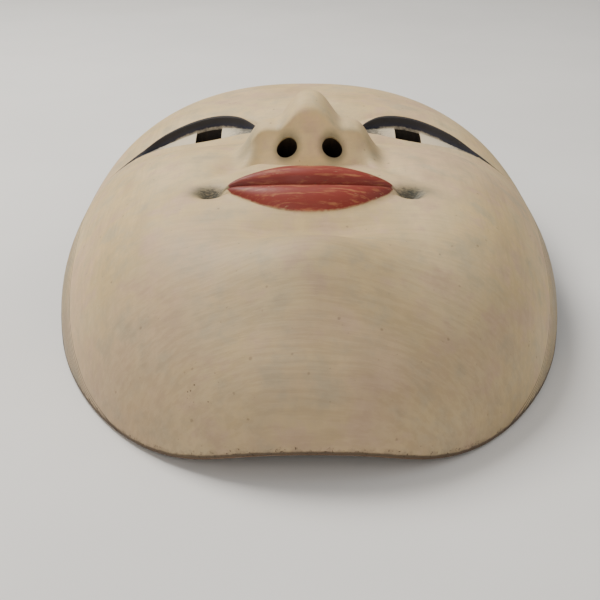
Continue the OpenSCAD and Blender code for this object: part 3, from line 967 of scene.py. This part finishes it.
def cloth_material(name, tone, thread):
    """Plain cotton weave, its threads along X and Y."""
    material, n, shader = start_material(name)
    place = n.place()
    weave = n.group(GROUPS["weave"], Coord=place, Thread=thread).outputs
    ages = n.group(GROUPS["patches"], Coord=place, Shift=0.05).outputs
    body = n.mix(n.math("MULTIPLY", weave["Mask"], 0.5), n.vector("MULTIPLY", tone, (0.62, 0.6, 0.56)), tone)
    body = n.mix(n.math("MULTIPLY", ages["Wide"], 0.4), body, n.vector("MULTIPLY", tone, (0.7, 0.6, 0.46)))
    bright = n.vector("MULTIPLY", tone, (1.15, 1.12, 1.05))
    body = n.mix(n.ramp(weave["Slub"], 0.6, 0.8, 0, 0.3), body, bright)
    n.put(shader.inputs["Base Color"], body)
    n.put(shader.inputs["Roughness"], n.ramp(weave["Mask"], 0, 1, 0.95, 0.8, soft=False))
    shader.inputs["Sheen Weight"].default_value = 0.25
    shader.inputs["Sheen Roughness"].default_value = 0.5
    bump(n, shader, weave["Height"], 0.6, 0.12)
    return material


def wadding_material():
    """Loose cotton fibres."""
    material, n, shader = start_material("Cotton wadding")
    place = n.place()
    fluff = n.noise(place, 0.9, 5, 0.7, 1.5)
    body = n.mix(n.ramp(fluff, 0.35, 0.65), (0.62, 0.58, 0.5), (0.80, 0.78, 0.73))
    n.put(shader.inputs["Base Color"], body)
    n.put(shader.inputs["Roughness"], n.ramp(fluff, 0.3, 0.7, 0.9, 1.0))
    shader.inputs["Sheen Weight"].default_value = 0.4
    bump(n, shader, fluff, 0.8, 0.5)
    return material


def dress(obj, material):
    """Gives a piece its finish."""
    obj.data.materials.clear()
    obj.data.materials.append(material)


# ---------------------------------------------------------------------------
# Painting: fields on the mesh, in millimetres, that the finishes read.


def rim_distance(r):
    """How far along the surface a point of the side lies from the rim."""
    q = np.linspace(0, 1, 400)
    z = DOME * np.clip(1 - q**3, 0, 1) ** 0.45
    step = np.hypot(np.diff(q) * HALF_W, np.diff(z))
    run = np.concatenate([[0], np.cumsum(step)])
    return np.interp(np.minimum(r, 1), q, run[-1] - run)


def write_field(obj, name, values):
    layer = obj.data.attributes.new(name, "FLOAT", "POINT")
    layer.data.foreach_set("value", np.asarray(values, dtype=np.float32))


def mesh_points(obj):
    """A mesh's points in millimetres."""
    out = np.empty(len(obj.data.vertices) * 3, dtype=np.float32)
    obj.data.vertices.foreach_get("co", out)
    return out.reshape(-1, 3).astype(float) / MM


def paint_fields(obj):
    """Writes where each painted thing lies, as distances inside its edge or as masks."""
    x, y, z = mesh_points(obj).T
    a = np.abs(x)
    r = rho(x, y)
    side = rim_distance(r)
    lip_t, top, part, low, end = lip_lines(x)
    fade = smooth(1.02, 0.86, lip_t)
    upper = np.minimum(y - part + 0.3, top - y) * fade - (1 - fade)
    lower = np.minimum(low - y + 0.2, y - end) * fade - (1 - fade)
    write_field(obj, "lip", np.maximum(upper, lower))
    write_field(obj, "teeth", np.minimum(np.minimum(y - low, part - y), 12 * (0.85 - lip_t)).clip(-2, 1))

    t, lo, up = eye_lines(x)
    c = np.clip(t, 0, 1)
    thick = 0.5 + 1.5 * np.sin(np.pi * c**0.9) ** 0.8
    band = np.minimum(y - up + 0.35, up + thick - y)
    tail_mid = EYE_OUT[1] - 0.32 * (a - EYE_OUT[0]) + 0.3
    tail = 0.95 * smooth(1.32, 0.98, t) - np.abs(y - tail_mid - 0.2)
    band = np.where(t < 0, 0.5 * smooth(-0.08, 0, t) - np.abs(y - EYE_IN[1] - 0.1), band)
    band = np.where(t > 0.97, np.maximum(tail, np.where(t <= 1, band, -9)), band)
    band = np.where((t < -0.1) | (t > 1.34), -9, band)
    write_field(obj, "lid", np.clip(band, -9, 3))

    out = a - BROW_AT[0]
    brow = bell(out, 9.5, 2.4) * bell(y - BROW_AT[1] + 0.02 * out**2, 4.2, 2.2)
    write_field(obj, "brow", 0.85 * np.clip(1.25 * brow - 0.12, 0, 1))

    open_eye = smooth(0, 0.05, t) * smooth(1, 0.95, t) * smooth(-0.3, 0.4, y - lo) * smooth(0.3, -0.3, y - up)
    write_field(obj, "white", open_eye)
    corners = (bell(t - 0.03, 0.24) + bell(t - 0.98, 0.27)) * open_eye
    under = 0.55 * open_eye * bell(up - y - 0.2, 1.3)
    dimple = 0.9 * bell(np.hypot(0.8 * (a - DIMPLE_AT[0]), 1.3 * (y - DIMPLE_AT[1])), 3.3, 2.4)
    smear = 0.45 * bell(a - 26.5, 4.2) * bell(y + 48.3, 3.2)
    wing = 0.75 * bell(np.hypot(a - 15.8, 0.8 * (y + 27)), 3.4) * smooth(-10, -20, y)
    nostril = 0.95 * smooth(4.4, 2.2, nostril_distance(a, y, z))
    parting = 0.5 * bell(y - part, 0.9) * smooth(1.25, 0.8, lip_t)
    shade = corners * 0.6 + under + dimple + smear + wing * 0.6 + nostril + parting
    write_field(obj, "shade", np.clip(shade, 0, 1))
    write_field(obj, "feather", np.clip(0.95 * corners + 0.95 * dimple, 0, 1))

    reach = HAIR_CHEEK * smooth(-92, -25, y) + HAIR_BROW * smooth(0, 110, y)
    reach = reach - HAIR_PARTING * bell(x, 5) * smooth(60, 90, y)
    write_field(obj, "hair", reach - side)
    write_field(obj, "mass", reach - 5 - 8 * smooth(25, -45, y) - side)
    write_field(obj, "rim", side)
    return side


def nostril_distance(a, y, z):
    """Distance to the middle line of a nostril."""
    start, end = (np.array(p) for p in NOSTRIL_LINE)
    run = unit(end - start)
    return np.linalg.norm(np.cross(np.stack([a, y, z], -1) - start, run), axis=-1)


def hole_ink_and_shade_field(points):
    """1 on the edges of the holes, where the wood is inked and also darkened near-black as painted shade."""
    x, y, z = points.T
    a = np.abs(x)
    _, lo, up = eye_lines(x)
    eye = np.maximum(np.abs(a - PUPIL_X) - PUPIL_W / 2, np.maximum(lo - y, y - up))
    nostril = nostril_distance(a, y, z) - NOSTRIL_INK
    cord = np.hypot(y - HOLE_Y, z - HOLE_Z) - HOLE_R - LINING
    _, _, part, low, _ = lip_lines(x)
    mouth = np.maximum(np.maximum(a - SLOT_W, y - part), low - y)
    nearest = np.minimum(np.minimum(eye, nostril), np.minimum(mouth, cord))
    return np.where(nearest < INK_DEPTH, 1.0, 0.0) * (z > INK_FROM)


def gouges(settings):
    """Chisel marks: how far the wood dips at each point, as overlapping scoops."""
    w, l = settings.gouge_width / MM, settings.gouge_length / MM
    rng = np.random.default_rng(settings.seed)
    jitter = rng.uniform(-0.28, 0.28, (64, 64, 2))

    def dents(p):
        s, t = p[:, 0] / w + 32, p[:, 1] / l + 32
        s = s + 0.25 * np.sin(p[:, 1] * 0.05)
        best = np.full(len(p), 9.0)
        for di in (-1, 0, 1):
            for dj in (-1, 0, 1):
                i = np.clip(np.floor(s).astype(int) + di, 0, 63)
                j = np.clip(np.floor(t - 0.5 * (i % 2)).astype(int) + dj, 0, 63)
                cx = i + 0.5 + jitter[i, j, 0]
                cy = j + 0.5 + 0.5 * (i % 2) + jitter[i, j, 1]
                best = np.minimum(best, (s - cx) ** 2 + (t - cy) ** 2)
        return np.clip(best / 0.42, 0, 1)

    return dents


# ---------------------------------------------------------------------------
# Operators: one for each piece or group of like pieces.


def plans():
    """The fine sheet of the front and the half as fine one of the back."""
    cols, rows = spaced(COL_BANDS), spaced(ROW_BANDS)
    return Plan(cols, rows, RINGS), Plan(cols[::2], rows[::2], RINGS // 2)


class NOH_OT_wood(bpy.types.Operator):
    """Carve the cypress block: face, hollow, flat rim and holes"""

    bl_idname = "noh.wood"
    bl_label = "Carve Block"

    def execute(self, context):
        scene = context.scene
        carving = scene.noh_carving
        fine, half = plans()
        coat, lacquer = carving.coat / MM, carving.lacquer / MM
        dents = gouges(carving)
        depth = carving.gouge_depth / MM
        front_pts = sheet(fine, "front", coat)
        back_pts = sheet(half, "back", lacquer, lambda p: depth * (0.5 - dents(p)))
        rings = [
            rim_ring(fine, "front", coat + 0.05, 0.35),
            rim_ring(fine, "front", coat + 0.5, 0.0),
            rim_ring(half, "back", lacquer + 0.5, 0.0),
            rim_ring(half, "back", lacquer + 0.05, 0.35),
        ]
        n = fine.count + half.count
        loops = []
        for ring in rings:
            loops.append(n + np.arange(len(ring)))
            n += len(ring)
        points = np.concatenate([front_pts, back_pts, *rings])
        wood = new_mesh("carved_block", points, shell_faces(fine, half, loops))
        open_holes(wood)
        # Marks the hole walls for their ink and painted shade.
        write_field(wood, "tunnel", hole_ink_and_shade_field(mesh_points(wood)))
        dress(wood, wood_material(scene.noh_paint))
        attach(wood, "root")
        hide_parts("wood_shell")
        return {"FINISHED"}


class NOH_OT_coat(bpy.types.Operator):
    """Lay the chalk coat on the face and paint it"""

    bl_idname = "noh.coat"
    bl_label = "Coat and Paint Face"

    def execute(self, context):
        scene = context.scene
        fine, _ = plans()
        points = [sheet(fine, "front", 0.0), sheet(fine, "front", scene.noh_carving.coat / MM)]
        coat = new_mesh("painted_coat", np.concatenate(points), shell_faces(fine, fine))
        open_holes(coat)
        paint_fields(coat)
        dress(coat, coat_material(scene.noh_paint))
        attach(coat, "root")
        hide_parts("gofun_coat")
        return {"FINISHED"}


class NOH_OT_lacquer(bpy.types.Operator):
    """Lacquer the hollow back over its chisel marks, and the two cord holes"""

    bl_idname = "noh.lacquer"
    bl_label = "Lacquer Back"

    def execute(self, context):
        scene = context.scene
        carving = scene.noh_carving
        fine, half = plans()
        dents = gouges(carving)
        depth = carving.gouge_depth / MM

        def dip(p):
            return depth * (0.5 - dents(p))

        points = [sheet(half, "back", carving.lacquer / MM, dip), sheet(fine, "back", 0.0, dip)]
        skin = new_mesh("lacquered_back", np.concatenate(points), shell_faces(half, fine))
        open_holes(skin)
        write_field(skin, "ridge", dents(mesh_points(skin)))
        material = lacquer_material(scene.noh_paint)
        dress(skin, material)
        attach(skin, "root")
        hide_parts("back_lacquer")
        for node in ("left_cord_hole_lining", "right_cord_hole_lining"):
            obj = bpy.data.objects[node]
            obj.data.materials.clear()
            obj.data.materials.append(material)
        return {"FINISHED"}


PAD_PLACES = {
    "forehead": ((0.0, 52.0), "brow_size"),
    "left_cheek": ((36.0, -30.0), "cheek_size"),
    "right_cheek": ((-36.0, -30.0), "cheek_size"),
}


def hollow_height(x, y):
    """Height of the lacquered hollow over each point."""
    lim = rho(x, y, IN_W, IN_H)
    inner = 1 - np.minimum(lim, 1) ** 10
    z = (DOME - 9.5) * np.clip(1 - lim**3, 0, 1) ** 0.48
    return z + inner * (
        8 * bell(x, 9) * bell(y + 20, 14)
        + 4 * bell(x, 24) * bell(y + 52, 20)
        + 5 * bell(x, 26) * bell(y + 74, 14)
        - 3 * bell(np.abs(x) - 29, 17) * bell(y - 9, 12)
    )


PAD_CORNER = 2.6
SEAM_AT = 0.84
STITCHES = 34
MOST_SWELL = 1.6


def pad_ring(centre, size, k, n):
    """A rounded oblong at k of the pad's half size."""
    a = np.linspace(0, 2 * np.pi, n, endpoint=False)
    c, s = np.cos(a), np.sin(a)
    r = (np.abs(c) ** PAD_CORNER + np.abs(s) ** PAD_CORNER) ** (-1 / PAD_CORNER) * k
    return centre[0] + size[0] / 2 * r * c, centre[1] + size[1] / 2 * r * s


def pad_points(centre, size, inset, swell_to, gap, rings=9, n=48):
    """Upper sheet on the hollow, lower sheet swelling towards the face."""
    low_w = [size[0] - 2 * inset, size[1] - 2 * inset]
    upper, lower = [], []
    for k in np.linspace(0, 1, rings + 1)[1:]:
        x, y = pad_ring(centre, low_w, k, n)
        seat = hollow_height(x, y) - gap - inset
        thick = max(0.5, size[2] * swell_to - 2 * inset)
        t = thick * (1 - k**2.4) ** 0.6
        rise = 0.28 * thick * k**4
        upper.append(np.stack([x, y, seat - rise], -1))
        lower.append(np.stack([x, y, seat - rise - np.maximum(t, 0.35)], -1))
    seat = float(hollow_height(np.array([centre[0]]), np.array([centre[1]]))[0]) - gap - inset
    tops = [np.array([[centre[0], centre[1], seat]])] + upper
    lows = [np.array([[centre[0], centre[1], seat - max(0.5, size[2] * swell_to - 2 * inset)]])] + lower
    points, faces = [], []
    count = 0
    for rows in (tops, lows):
        hub = count
        points += rows
        first = count + 1
        faces += [[hub, first + i, first + (i + 1) % n] for i in range(n)]
        for k in range(rings - 1):
            a, b = first + k * n, first + (k + 1) * n
            faces += [[a + i, b + i, b + (i + 1) % n, a + (i + 1) % n] for i in range(n)]
        count += 1 + rings * n
    a, b = rings * n + 1 - n, count - n
    faces += [[a + i, a + (i + 1) % n, b + (i + 1) % n, b + i] for i in range(n)]
    return np.concatenate(points), faces


SIM_SCALE = 10.0
VOXEL = 0.009
LAST_FRAME = 20
SWELLING = {
    "quality": 6,
    "mass": 0.3,
    "tension_stiffness": 20,
    "compression_stiffness": 20,
    "bending_stiffness": 0.8,
    "use_pressure": True,
    "uniform_pressure_force": 4.0,
    "vertex_group_mass": "sewn",
}


def baked(obj):
    """The object's mesh with its modifiers applied."""
    depsgraph = bpy.context.evaluated_depsgraph_get()
    return bpy.data.meshes.new_from_object(obj.evaluated_get(depsgraph))


def inflate(obj, centre, size, most):
    """Swells the pad as cloth, its sewn edge held, at ten times its size."""
    start = obj.data
    work = obj.copy()
    work.data = start.copy()
    work.data.transform(Matrix.Scale(SIM_SCALE, 4))
    bpy.context.scene.collection.objects.link(work)
    remesh = work.modifiers.new("remesh", "REMESH")
    remesh.mode = "VOXEL"
    remesh.voxel_size = VOXEL
    bpy.context.view_layer.update()
    mesh = baked(work)
    work.modifiers.clear()
    work.data = mesh
    rest = mesh_points(work) / SIM_SCALE
    s = (rest[:, 0] - centre[0]) / (size[0] / 2)
    t = (rest[:, 1] - centre[1]) / (size[1] / 2)
    out = (np.abs(s) ** PAD_CORNER + np.abs(t) ** PAD_CORNER) ** (1 / PAD_CORNER)
    held = work.vertex_groups.new(name="sewn")
    for i in np.flatnonzero(out > 0.93):
        held.add([int(i)], 1.0, "REPLACE")
    cloth = work.modifiers.new("cloth", "CLOTH")
    for key, value in SWELLING.items():
        setattr(cloth.settings, key, value)
    cloth.settings.effector_weights.gravity = 0
    cloth.collision_settings.use_collision = False
    cloth.point_cache.frame_start = 1
    cloth.point_cache.frame_end = LAST_FRAME
    for f in range(1, LAST_FRAME + 1):
        bpy.context.scene.frame_set(f)
    done = baked(work)
    work.modifiers.clear()
    work.data = done
    bpy.context.scene.frame_set(1)
    move = mesh_points(work) / SIM_SCALE - rest
    far = np.linalg.norm(move, axis=1, keepdims=True)
    rest = rest + move * np.minimum(1, most / np.maximum(far, 1e-6))
    return work, rest, out


def settle(points, out, size, gap, stitches):
    """Keeps the pad clear of the hollow and draws its sewn channel in."""
    x, y, z = points.T
    roof = hollow_height(x, y) - gap
    z = np.minimum(z, roof)
    depth = roof - z
    channel = bell(out - SEAM_AT, 0.045)
    angle = np.arctan2((y - y.mean()) / size[1], (x - x.mean()) / size[0])
    pucker = 0.10 * np.cos(angle * stitches) * bell(out - 0.93, 0.09)
    drawn = depth * (1 - 0.42 * channel) + pucker
    free = smooth(0.5, 1.5, depth)
    z = np.where(depth > 0.4, roof - (depth * (1 - free) + drawn * free), z)
    return np.stack([x, y, np.minimum(z, roof)], -1)


def stitch_tree(material):
    """Geometry nodes: stitches laid along a curve."""
    tree = bpy.data.node_groups.new("Running stitch", "GeometryNodeTree")
    face = tree.interface
    face.new_socket("Geometry", in_out="INPUT", socket_type="NodeSocketGeometry")
    sizes = {}
    for key, value in (("Spacing", 0.0026), ("Stitch Length", 0.0016), ("Thread Radius", 0.00022)):
        sizes[key] = face.new_socket(key, in_out="INPUT", socket_type="NodeSocketFloat")
        sizes[key].default_value = value
    face.new_socket("Geometry", in_out="OUTPUT", socket_type="NodeSocketGeometry")
    n = Nodes(tree)
    start, end = n.add("NodeGroupInput"), n.add("NodeGroupOutput")
    path = n.add("GeometryNodeResampleCurve", mode="LENGTH")
    n.put(path.inputs["Curve"], start.outputs["Geometry"])
    n.put(path.inputs["Length"], start.outputs["Spacing"])
    along = n.add("FunctionNodeAlignRotationToVector", axis="X")
    n.put(along.inputs["Vector"], n.add("GeometryNodeInputTangent").outputs[0])
    ball = n.add("GeometryNodeMeshUVSphere", {"Segments": 8, "Rings": 6, "Radius": 1.0})
    half = n.math("MULTIPLY", start.outputs["Stitch Length"], 0.5)
    radius = start.outputs["Thread Radius"]
    shape = n.add("ShaderNodeCombineXYZ", {0: half, 1: radius, 2: radius})
    turn = n.add("FunctionNodeRandomValue", data_type="FLOAT")
    turn.inputs[2].default_value = -0.22
    turn.inputs[3].default_value = 0.22
    turn.inputs["Seed"].default_value = 3
    lean = n.add("ShaderNodeCombineXYZ", {2: turn.outputs[1]})
    twist = n.add("FunctionNodeRotateRotation", rotation_space="LOCAL")
    n.put(twist.inputs[0], along.outputs[0])
    n.put(twist.inputs[1], n.add("FunctionNodeEulerToRotation", {0: lean.outputs[0]}).outputs[0])
    copies = n.add("GeometryNodeInstanceOnPoints")
    n.put(copies.inputs["Points"], path.outputs[0])
    n.put(copies.inputs["Instance"], ball.outputs["Mesh"])
    n.put(copies.inputs["Rotation"], twist.outputs[0])
    n.put(copies.inputs["Scale"], shape.outputs[0])
    real = n.add("GeometryNodeRealizeInstances", {0: copies.outputs[0]})
    skin = n.add("GeometryNodeSetMaterial", {"Material": material})
    n.put(skin.inputs["Geometry"], real.outputs[0])
    n.put(end.inputs[0], skin.outputs[0])
    return tree, {key: socket.identifier for key, socket in sizes.items()}


def sew(name, path, tree, ids, sizes):
    """Runs the stitch tree along a closed path and keeps the plain mesh."""
    curve = bpy.data.curves.new(name + "_path", "CURVE")
    curve.dimensions = "3D"
    spline = curve.splines.new("POLY")
    spline.points.add(len(path) - 1)
    for point, co in zip(spline.points, path):
        point.co = (*co, 1)
    spline.use_cyclic_u = True
    line = bpy.data.objects.new(name + "_path", curve)
    bpy.context.scene.collection.objects.link(line)
    mod = line.modifiers.new("stitches", "NODES")
    mod.node_group = tree
    for key, value in sizes.items():
        mod[ids[key]] = value
    bpy.context.view_layer.update()
    mesh = baked(line)
    bpy.data.objects.remove(line)
    mesh.polygons.foreach_set("use_smooth", [True] * len(mesh.polygons))
    obj = bpy.data.objects.new(name, mesh)
    bpy.context.scene.collection.objects.link(obj)
    return obj


class NOH_OT_pads(bpy.types.Operator):
    """Make the pads: wadding, a swollen cloth cover and its sewing"""

    bl_idname = "noh.pads"
    bl_label = "Make Pads"

    def execute(self, context):
        scene = context.scene
        pads = scene.noh_pads
        tone = scene.noh_paint.cloth[:]
        cloth = cloth_material("Pad cotton", tone, 0.7)
        thread = cloth_material("Sewing thread", (0.32, 0.26, 0.18), 0.25)
        fluff = wadding_material()
        tree, ids = stitch_tree(thread)
        gap = pads.gap / MM
        for place, (centre, size_name) in PAD_PLACES.items():
            size = [v / MM for v in getattr(pads, size_name)]
            points, faces = pad_points(centre, size, 0.0, 0.8, gap)
            seed = new_mesh(place + "_seed", points, faces)
            cover, swollen, out = inflate(seed, centre, size, MOST_SWELL)
            shaped = settle(swollen, out, size, gap, STITCHES)
            cover.name = place + "_cover"
            cover.data.vertices.foreach_set("co", (shaped * MM).astype(np.float32).ravel())
            cover.data.update()
            smoother = cover.modifiers.new("smooth", "SUBSURF")
            smoother.levels = smoother.render_levels = 1
            bpy.context.view_layer.update()
            mesh = baked(cover)
            cover.modifiers.clear()
            cover.vertex_groups.clear()
            cover.data = mesh
            mesh.polygons.foreach_set("use_smooth", [True] * len(mesh.polygons))
            drop([seed])
            dress(cover, cloth)
            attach(cover, "root")
            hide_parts(place + "_pad_cover")

            inner = [0.82 * size[0], 0.82 * size[1], size[2]]
            points, faces = pad_points(centre, inner, 1.2, 0.75, gap, 7, 40)
            fill = new_mesh(place + "_wadding", points, faces)
            dress(fill, fluff)
            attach(fill, "root")
            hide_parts(place + "_pad_wadding")

            context.view_layer.update()
            x, y = pad_ring(centre, size, SEAM_AT, 120)
            path = []
            for px, py in zip(x * MM, y * MM):
                hit, spot, _, _ = cover.ray_cast(Vector((px, py, -0.01)), Vector((0, 0, 1)))
                if not hit:
                    raise RuntimeError("the sewing missed " + cover.name)
                path.append((spot.x, spot.y, spot.z - 0.4 * pads.thread))
            sizes = {"Spacing": pads.stitch * 1.6, "Stitch Length": pads.stitch, "Thread Radius": pads.thread}
            sewing = sew(place + "_stitches", path, tree, ids, sizes)
            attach(sewing, "root")
        return {"FINISHED"}


FLOOR_FLAT, COVE, COVE_STEPS, FLOOR_TURNS = 1.5, 0.6, 20, 96
WALL_TOP = 1.5
LAMP_AIM = (0, -0.01, 0.02)
CAMERA_AIM = (-0.0024, -0.0298, 0.0049)


def floor_mesh():
    """A disc whose edge sweeps up into a wall."""
    turns = FLOOR_TURNS
    profile = [(0.6, 0.0), (FLOOR_FLAT, 0.0)]
    for k in range(1, COVE_STEPS + 1):
        a = math.pi / 2 * k / COVE_STEPS
        profile.append((FLOOR_FLAT + COVE * math.sin(a), COVE * (1 - math.cos(a))))
    profile.append((FLOOR_FLAT + COVE, WALL_TOP))
    points = [
        (r * math.cos(2 * math.pi * k / turns), r * math.sin(2 * math.pi * k / turns), z)
        for r, z in profile
        for k in range(turns)
    ]
    hub = len(points)
    points.append((0.0, 0.0, 0.0))
    faces = [[hub, k, (k + 1) % turns] for k in range(turns)]
    for row in range(len(profile) - 1):
        at, up = row * turns, (row + 1) * turns
        faces += [[at + k, up + k, up + (k + 1) % turns, at + (k + 1) % turns] for k in range(turns)]
    mesh = bpy.data.meshes.new("floor")
    mesh.from_pydata(points, [], faces)
    mesh.polygons.foreach_set("use_smooth", [True] * len(mesh.polygons))
    return mesh


class NOH_OT_stage(bpy.types.Operator):
    """Set out the pale floor, the soft light and the camera"""

    bl_idname = "noh.stage"
    bl_label = "Set Stage"

    def execute(self, context):
        scene = context.scene
        stage = scene.noh_stage
        mesh = floor_mesh()
        floor = bpy.data.objects.new("floor", mesh)
        scene.collection.objects.link(floor)
        material, nodes, shader = start_material("Pale paper")
        tint = nodes.ramp(nodes.noise(nodes.place(), 0.01, 3), 0.3, 0.7)
        nodes.put(shader.inputs["Base Color"], nodes.mix(tint, (0.80, 0.79, 0.77), (0.84, 0.83, 0.81)))
        shader.inputs["Roughness"].default_value = 0.85
        mesh.materials.append(material)

        world = bpy.data.worlds.new("Soft room")
        scene.world = world
        world.use_nodes = True
        sky = world.node_tree.nodes["Background"]
        sky.inputs["Color"].default_value = (1.0, 0.98, 0.95, 1)
        sky.inputs["Strength"].default_value = 0.30
        lamps = (
            ("key", (-0.30, 0.20, 0.60), 0.34, stage.key, (1.0, 0.965, 0.91)),
            ("fill", (0.55, -0.20, 0.50), 0.6, stage.key * 0.17, (0.97, 0.98, 1.0)),
            ("front", (-0.18, -0.62, 0.34), 0.5, stage.key * 0.27, (1.0, 0.97, 0.93)),
        )
        for name, place, size, power, tone in lamps:
            light = bpy.data.lights.new(name, "AREA")
            light.size = size
            light.energy = power
            light.color = tone
            lamp = bpy.data.objects.new(name, light)
            lamp.location = place
            aim = Vector(LAMP_AIM) - Vector(place)
            lamp.rotation_euler = aim.to_track_quat("-Z", "Y").to_euler()
            scene.collection.objects.link(lamp)

        cam = bpy.data.cameras.new("camera")
        cam.lens = stage.lens
        cam.sensor_width = 36
        cam.clip_start = 0.01
        camera = bpy.data.objects.new("camera", cam)
        back_dir = Vector((0, -math.cos(stage.elevation), math.sin(stage.elevation)))
        camera.location = Vector(CAMERA_AIM) + back_dir * stage.distance
        camera.rotation_euler = (-back_dir).to_track_quat("-Z", "Y").to_euler()
        scene.collection.objects.link(camera)
        scene.camera = camera
        return {"FINISHED"}


STEPS = (NOH_OT_stage, NOH_OT_wood, NOH_OT_coat, NOH_OT_lacquer, NOH_OT_pads)


class NOH_PT_panel(bpy.types.Panel):
    """The mask's settings and its steps, in order"""

    bl_idname = "NOH_PT_panel"
    bl_label = "Noh Mask"
    bl_space_type = "VIEW_3D"
    bl_region_type = "UI"
    bl_category = "Noh Mask"

    def draw(self, context):
        for name, group in SETTINGS.items():
            box = self.layout.box()
            settings = getattr(context.scene, name)
            for key in group.__annotations__:
                box.prop(settings, key)
        for step in STEPS:
            self.layout.operator(step.bl_idname)


def register():
    for name, group in SETTINGS.items():
        bpy.utils.register_class(group)
        setattr(bpy.types.Scene, name, PointerProperty(type=group))
    for cls in (*STEPS, NOH_PT_panel):
        bpy.utils.register_class(cls)


def unregister():
    for cls in reversed((*STEPS, NOH_PT_panel)):
        bpy.utils.unregister_class(cls)
    for name, group in SETTINGS.items():
        delattr(bpy.types.Scene, name)
        bpy.utils.unregister_class(group)


def main():
    register()
    for step in STEPS:
        family, name = step.bl_idname.split(".")
        getattr(getattr(bpy.ops, family), name)()


if __name__ == "__main__":
    main()
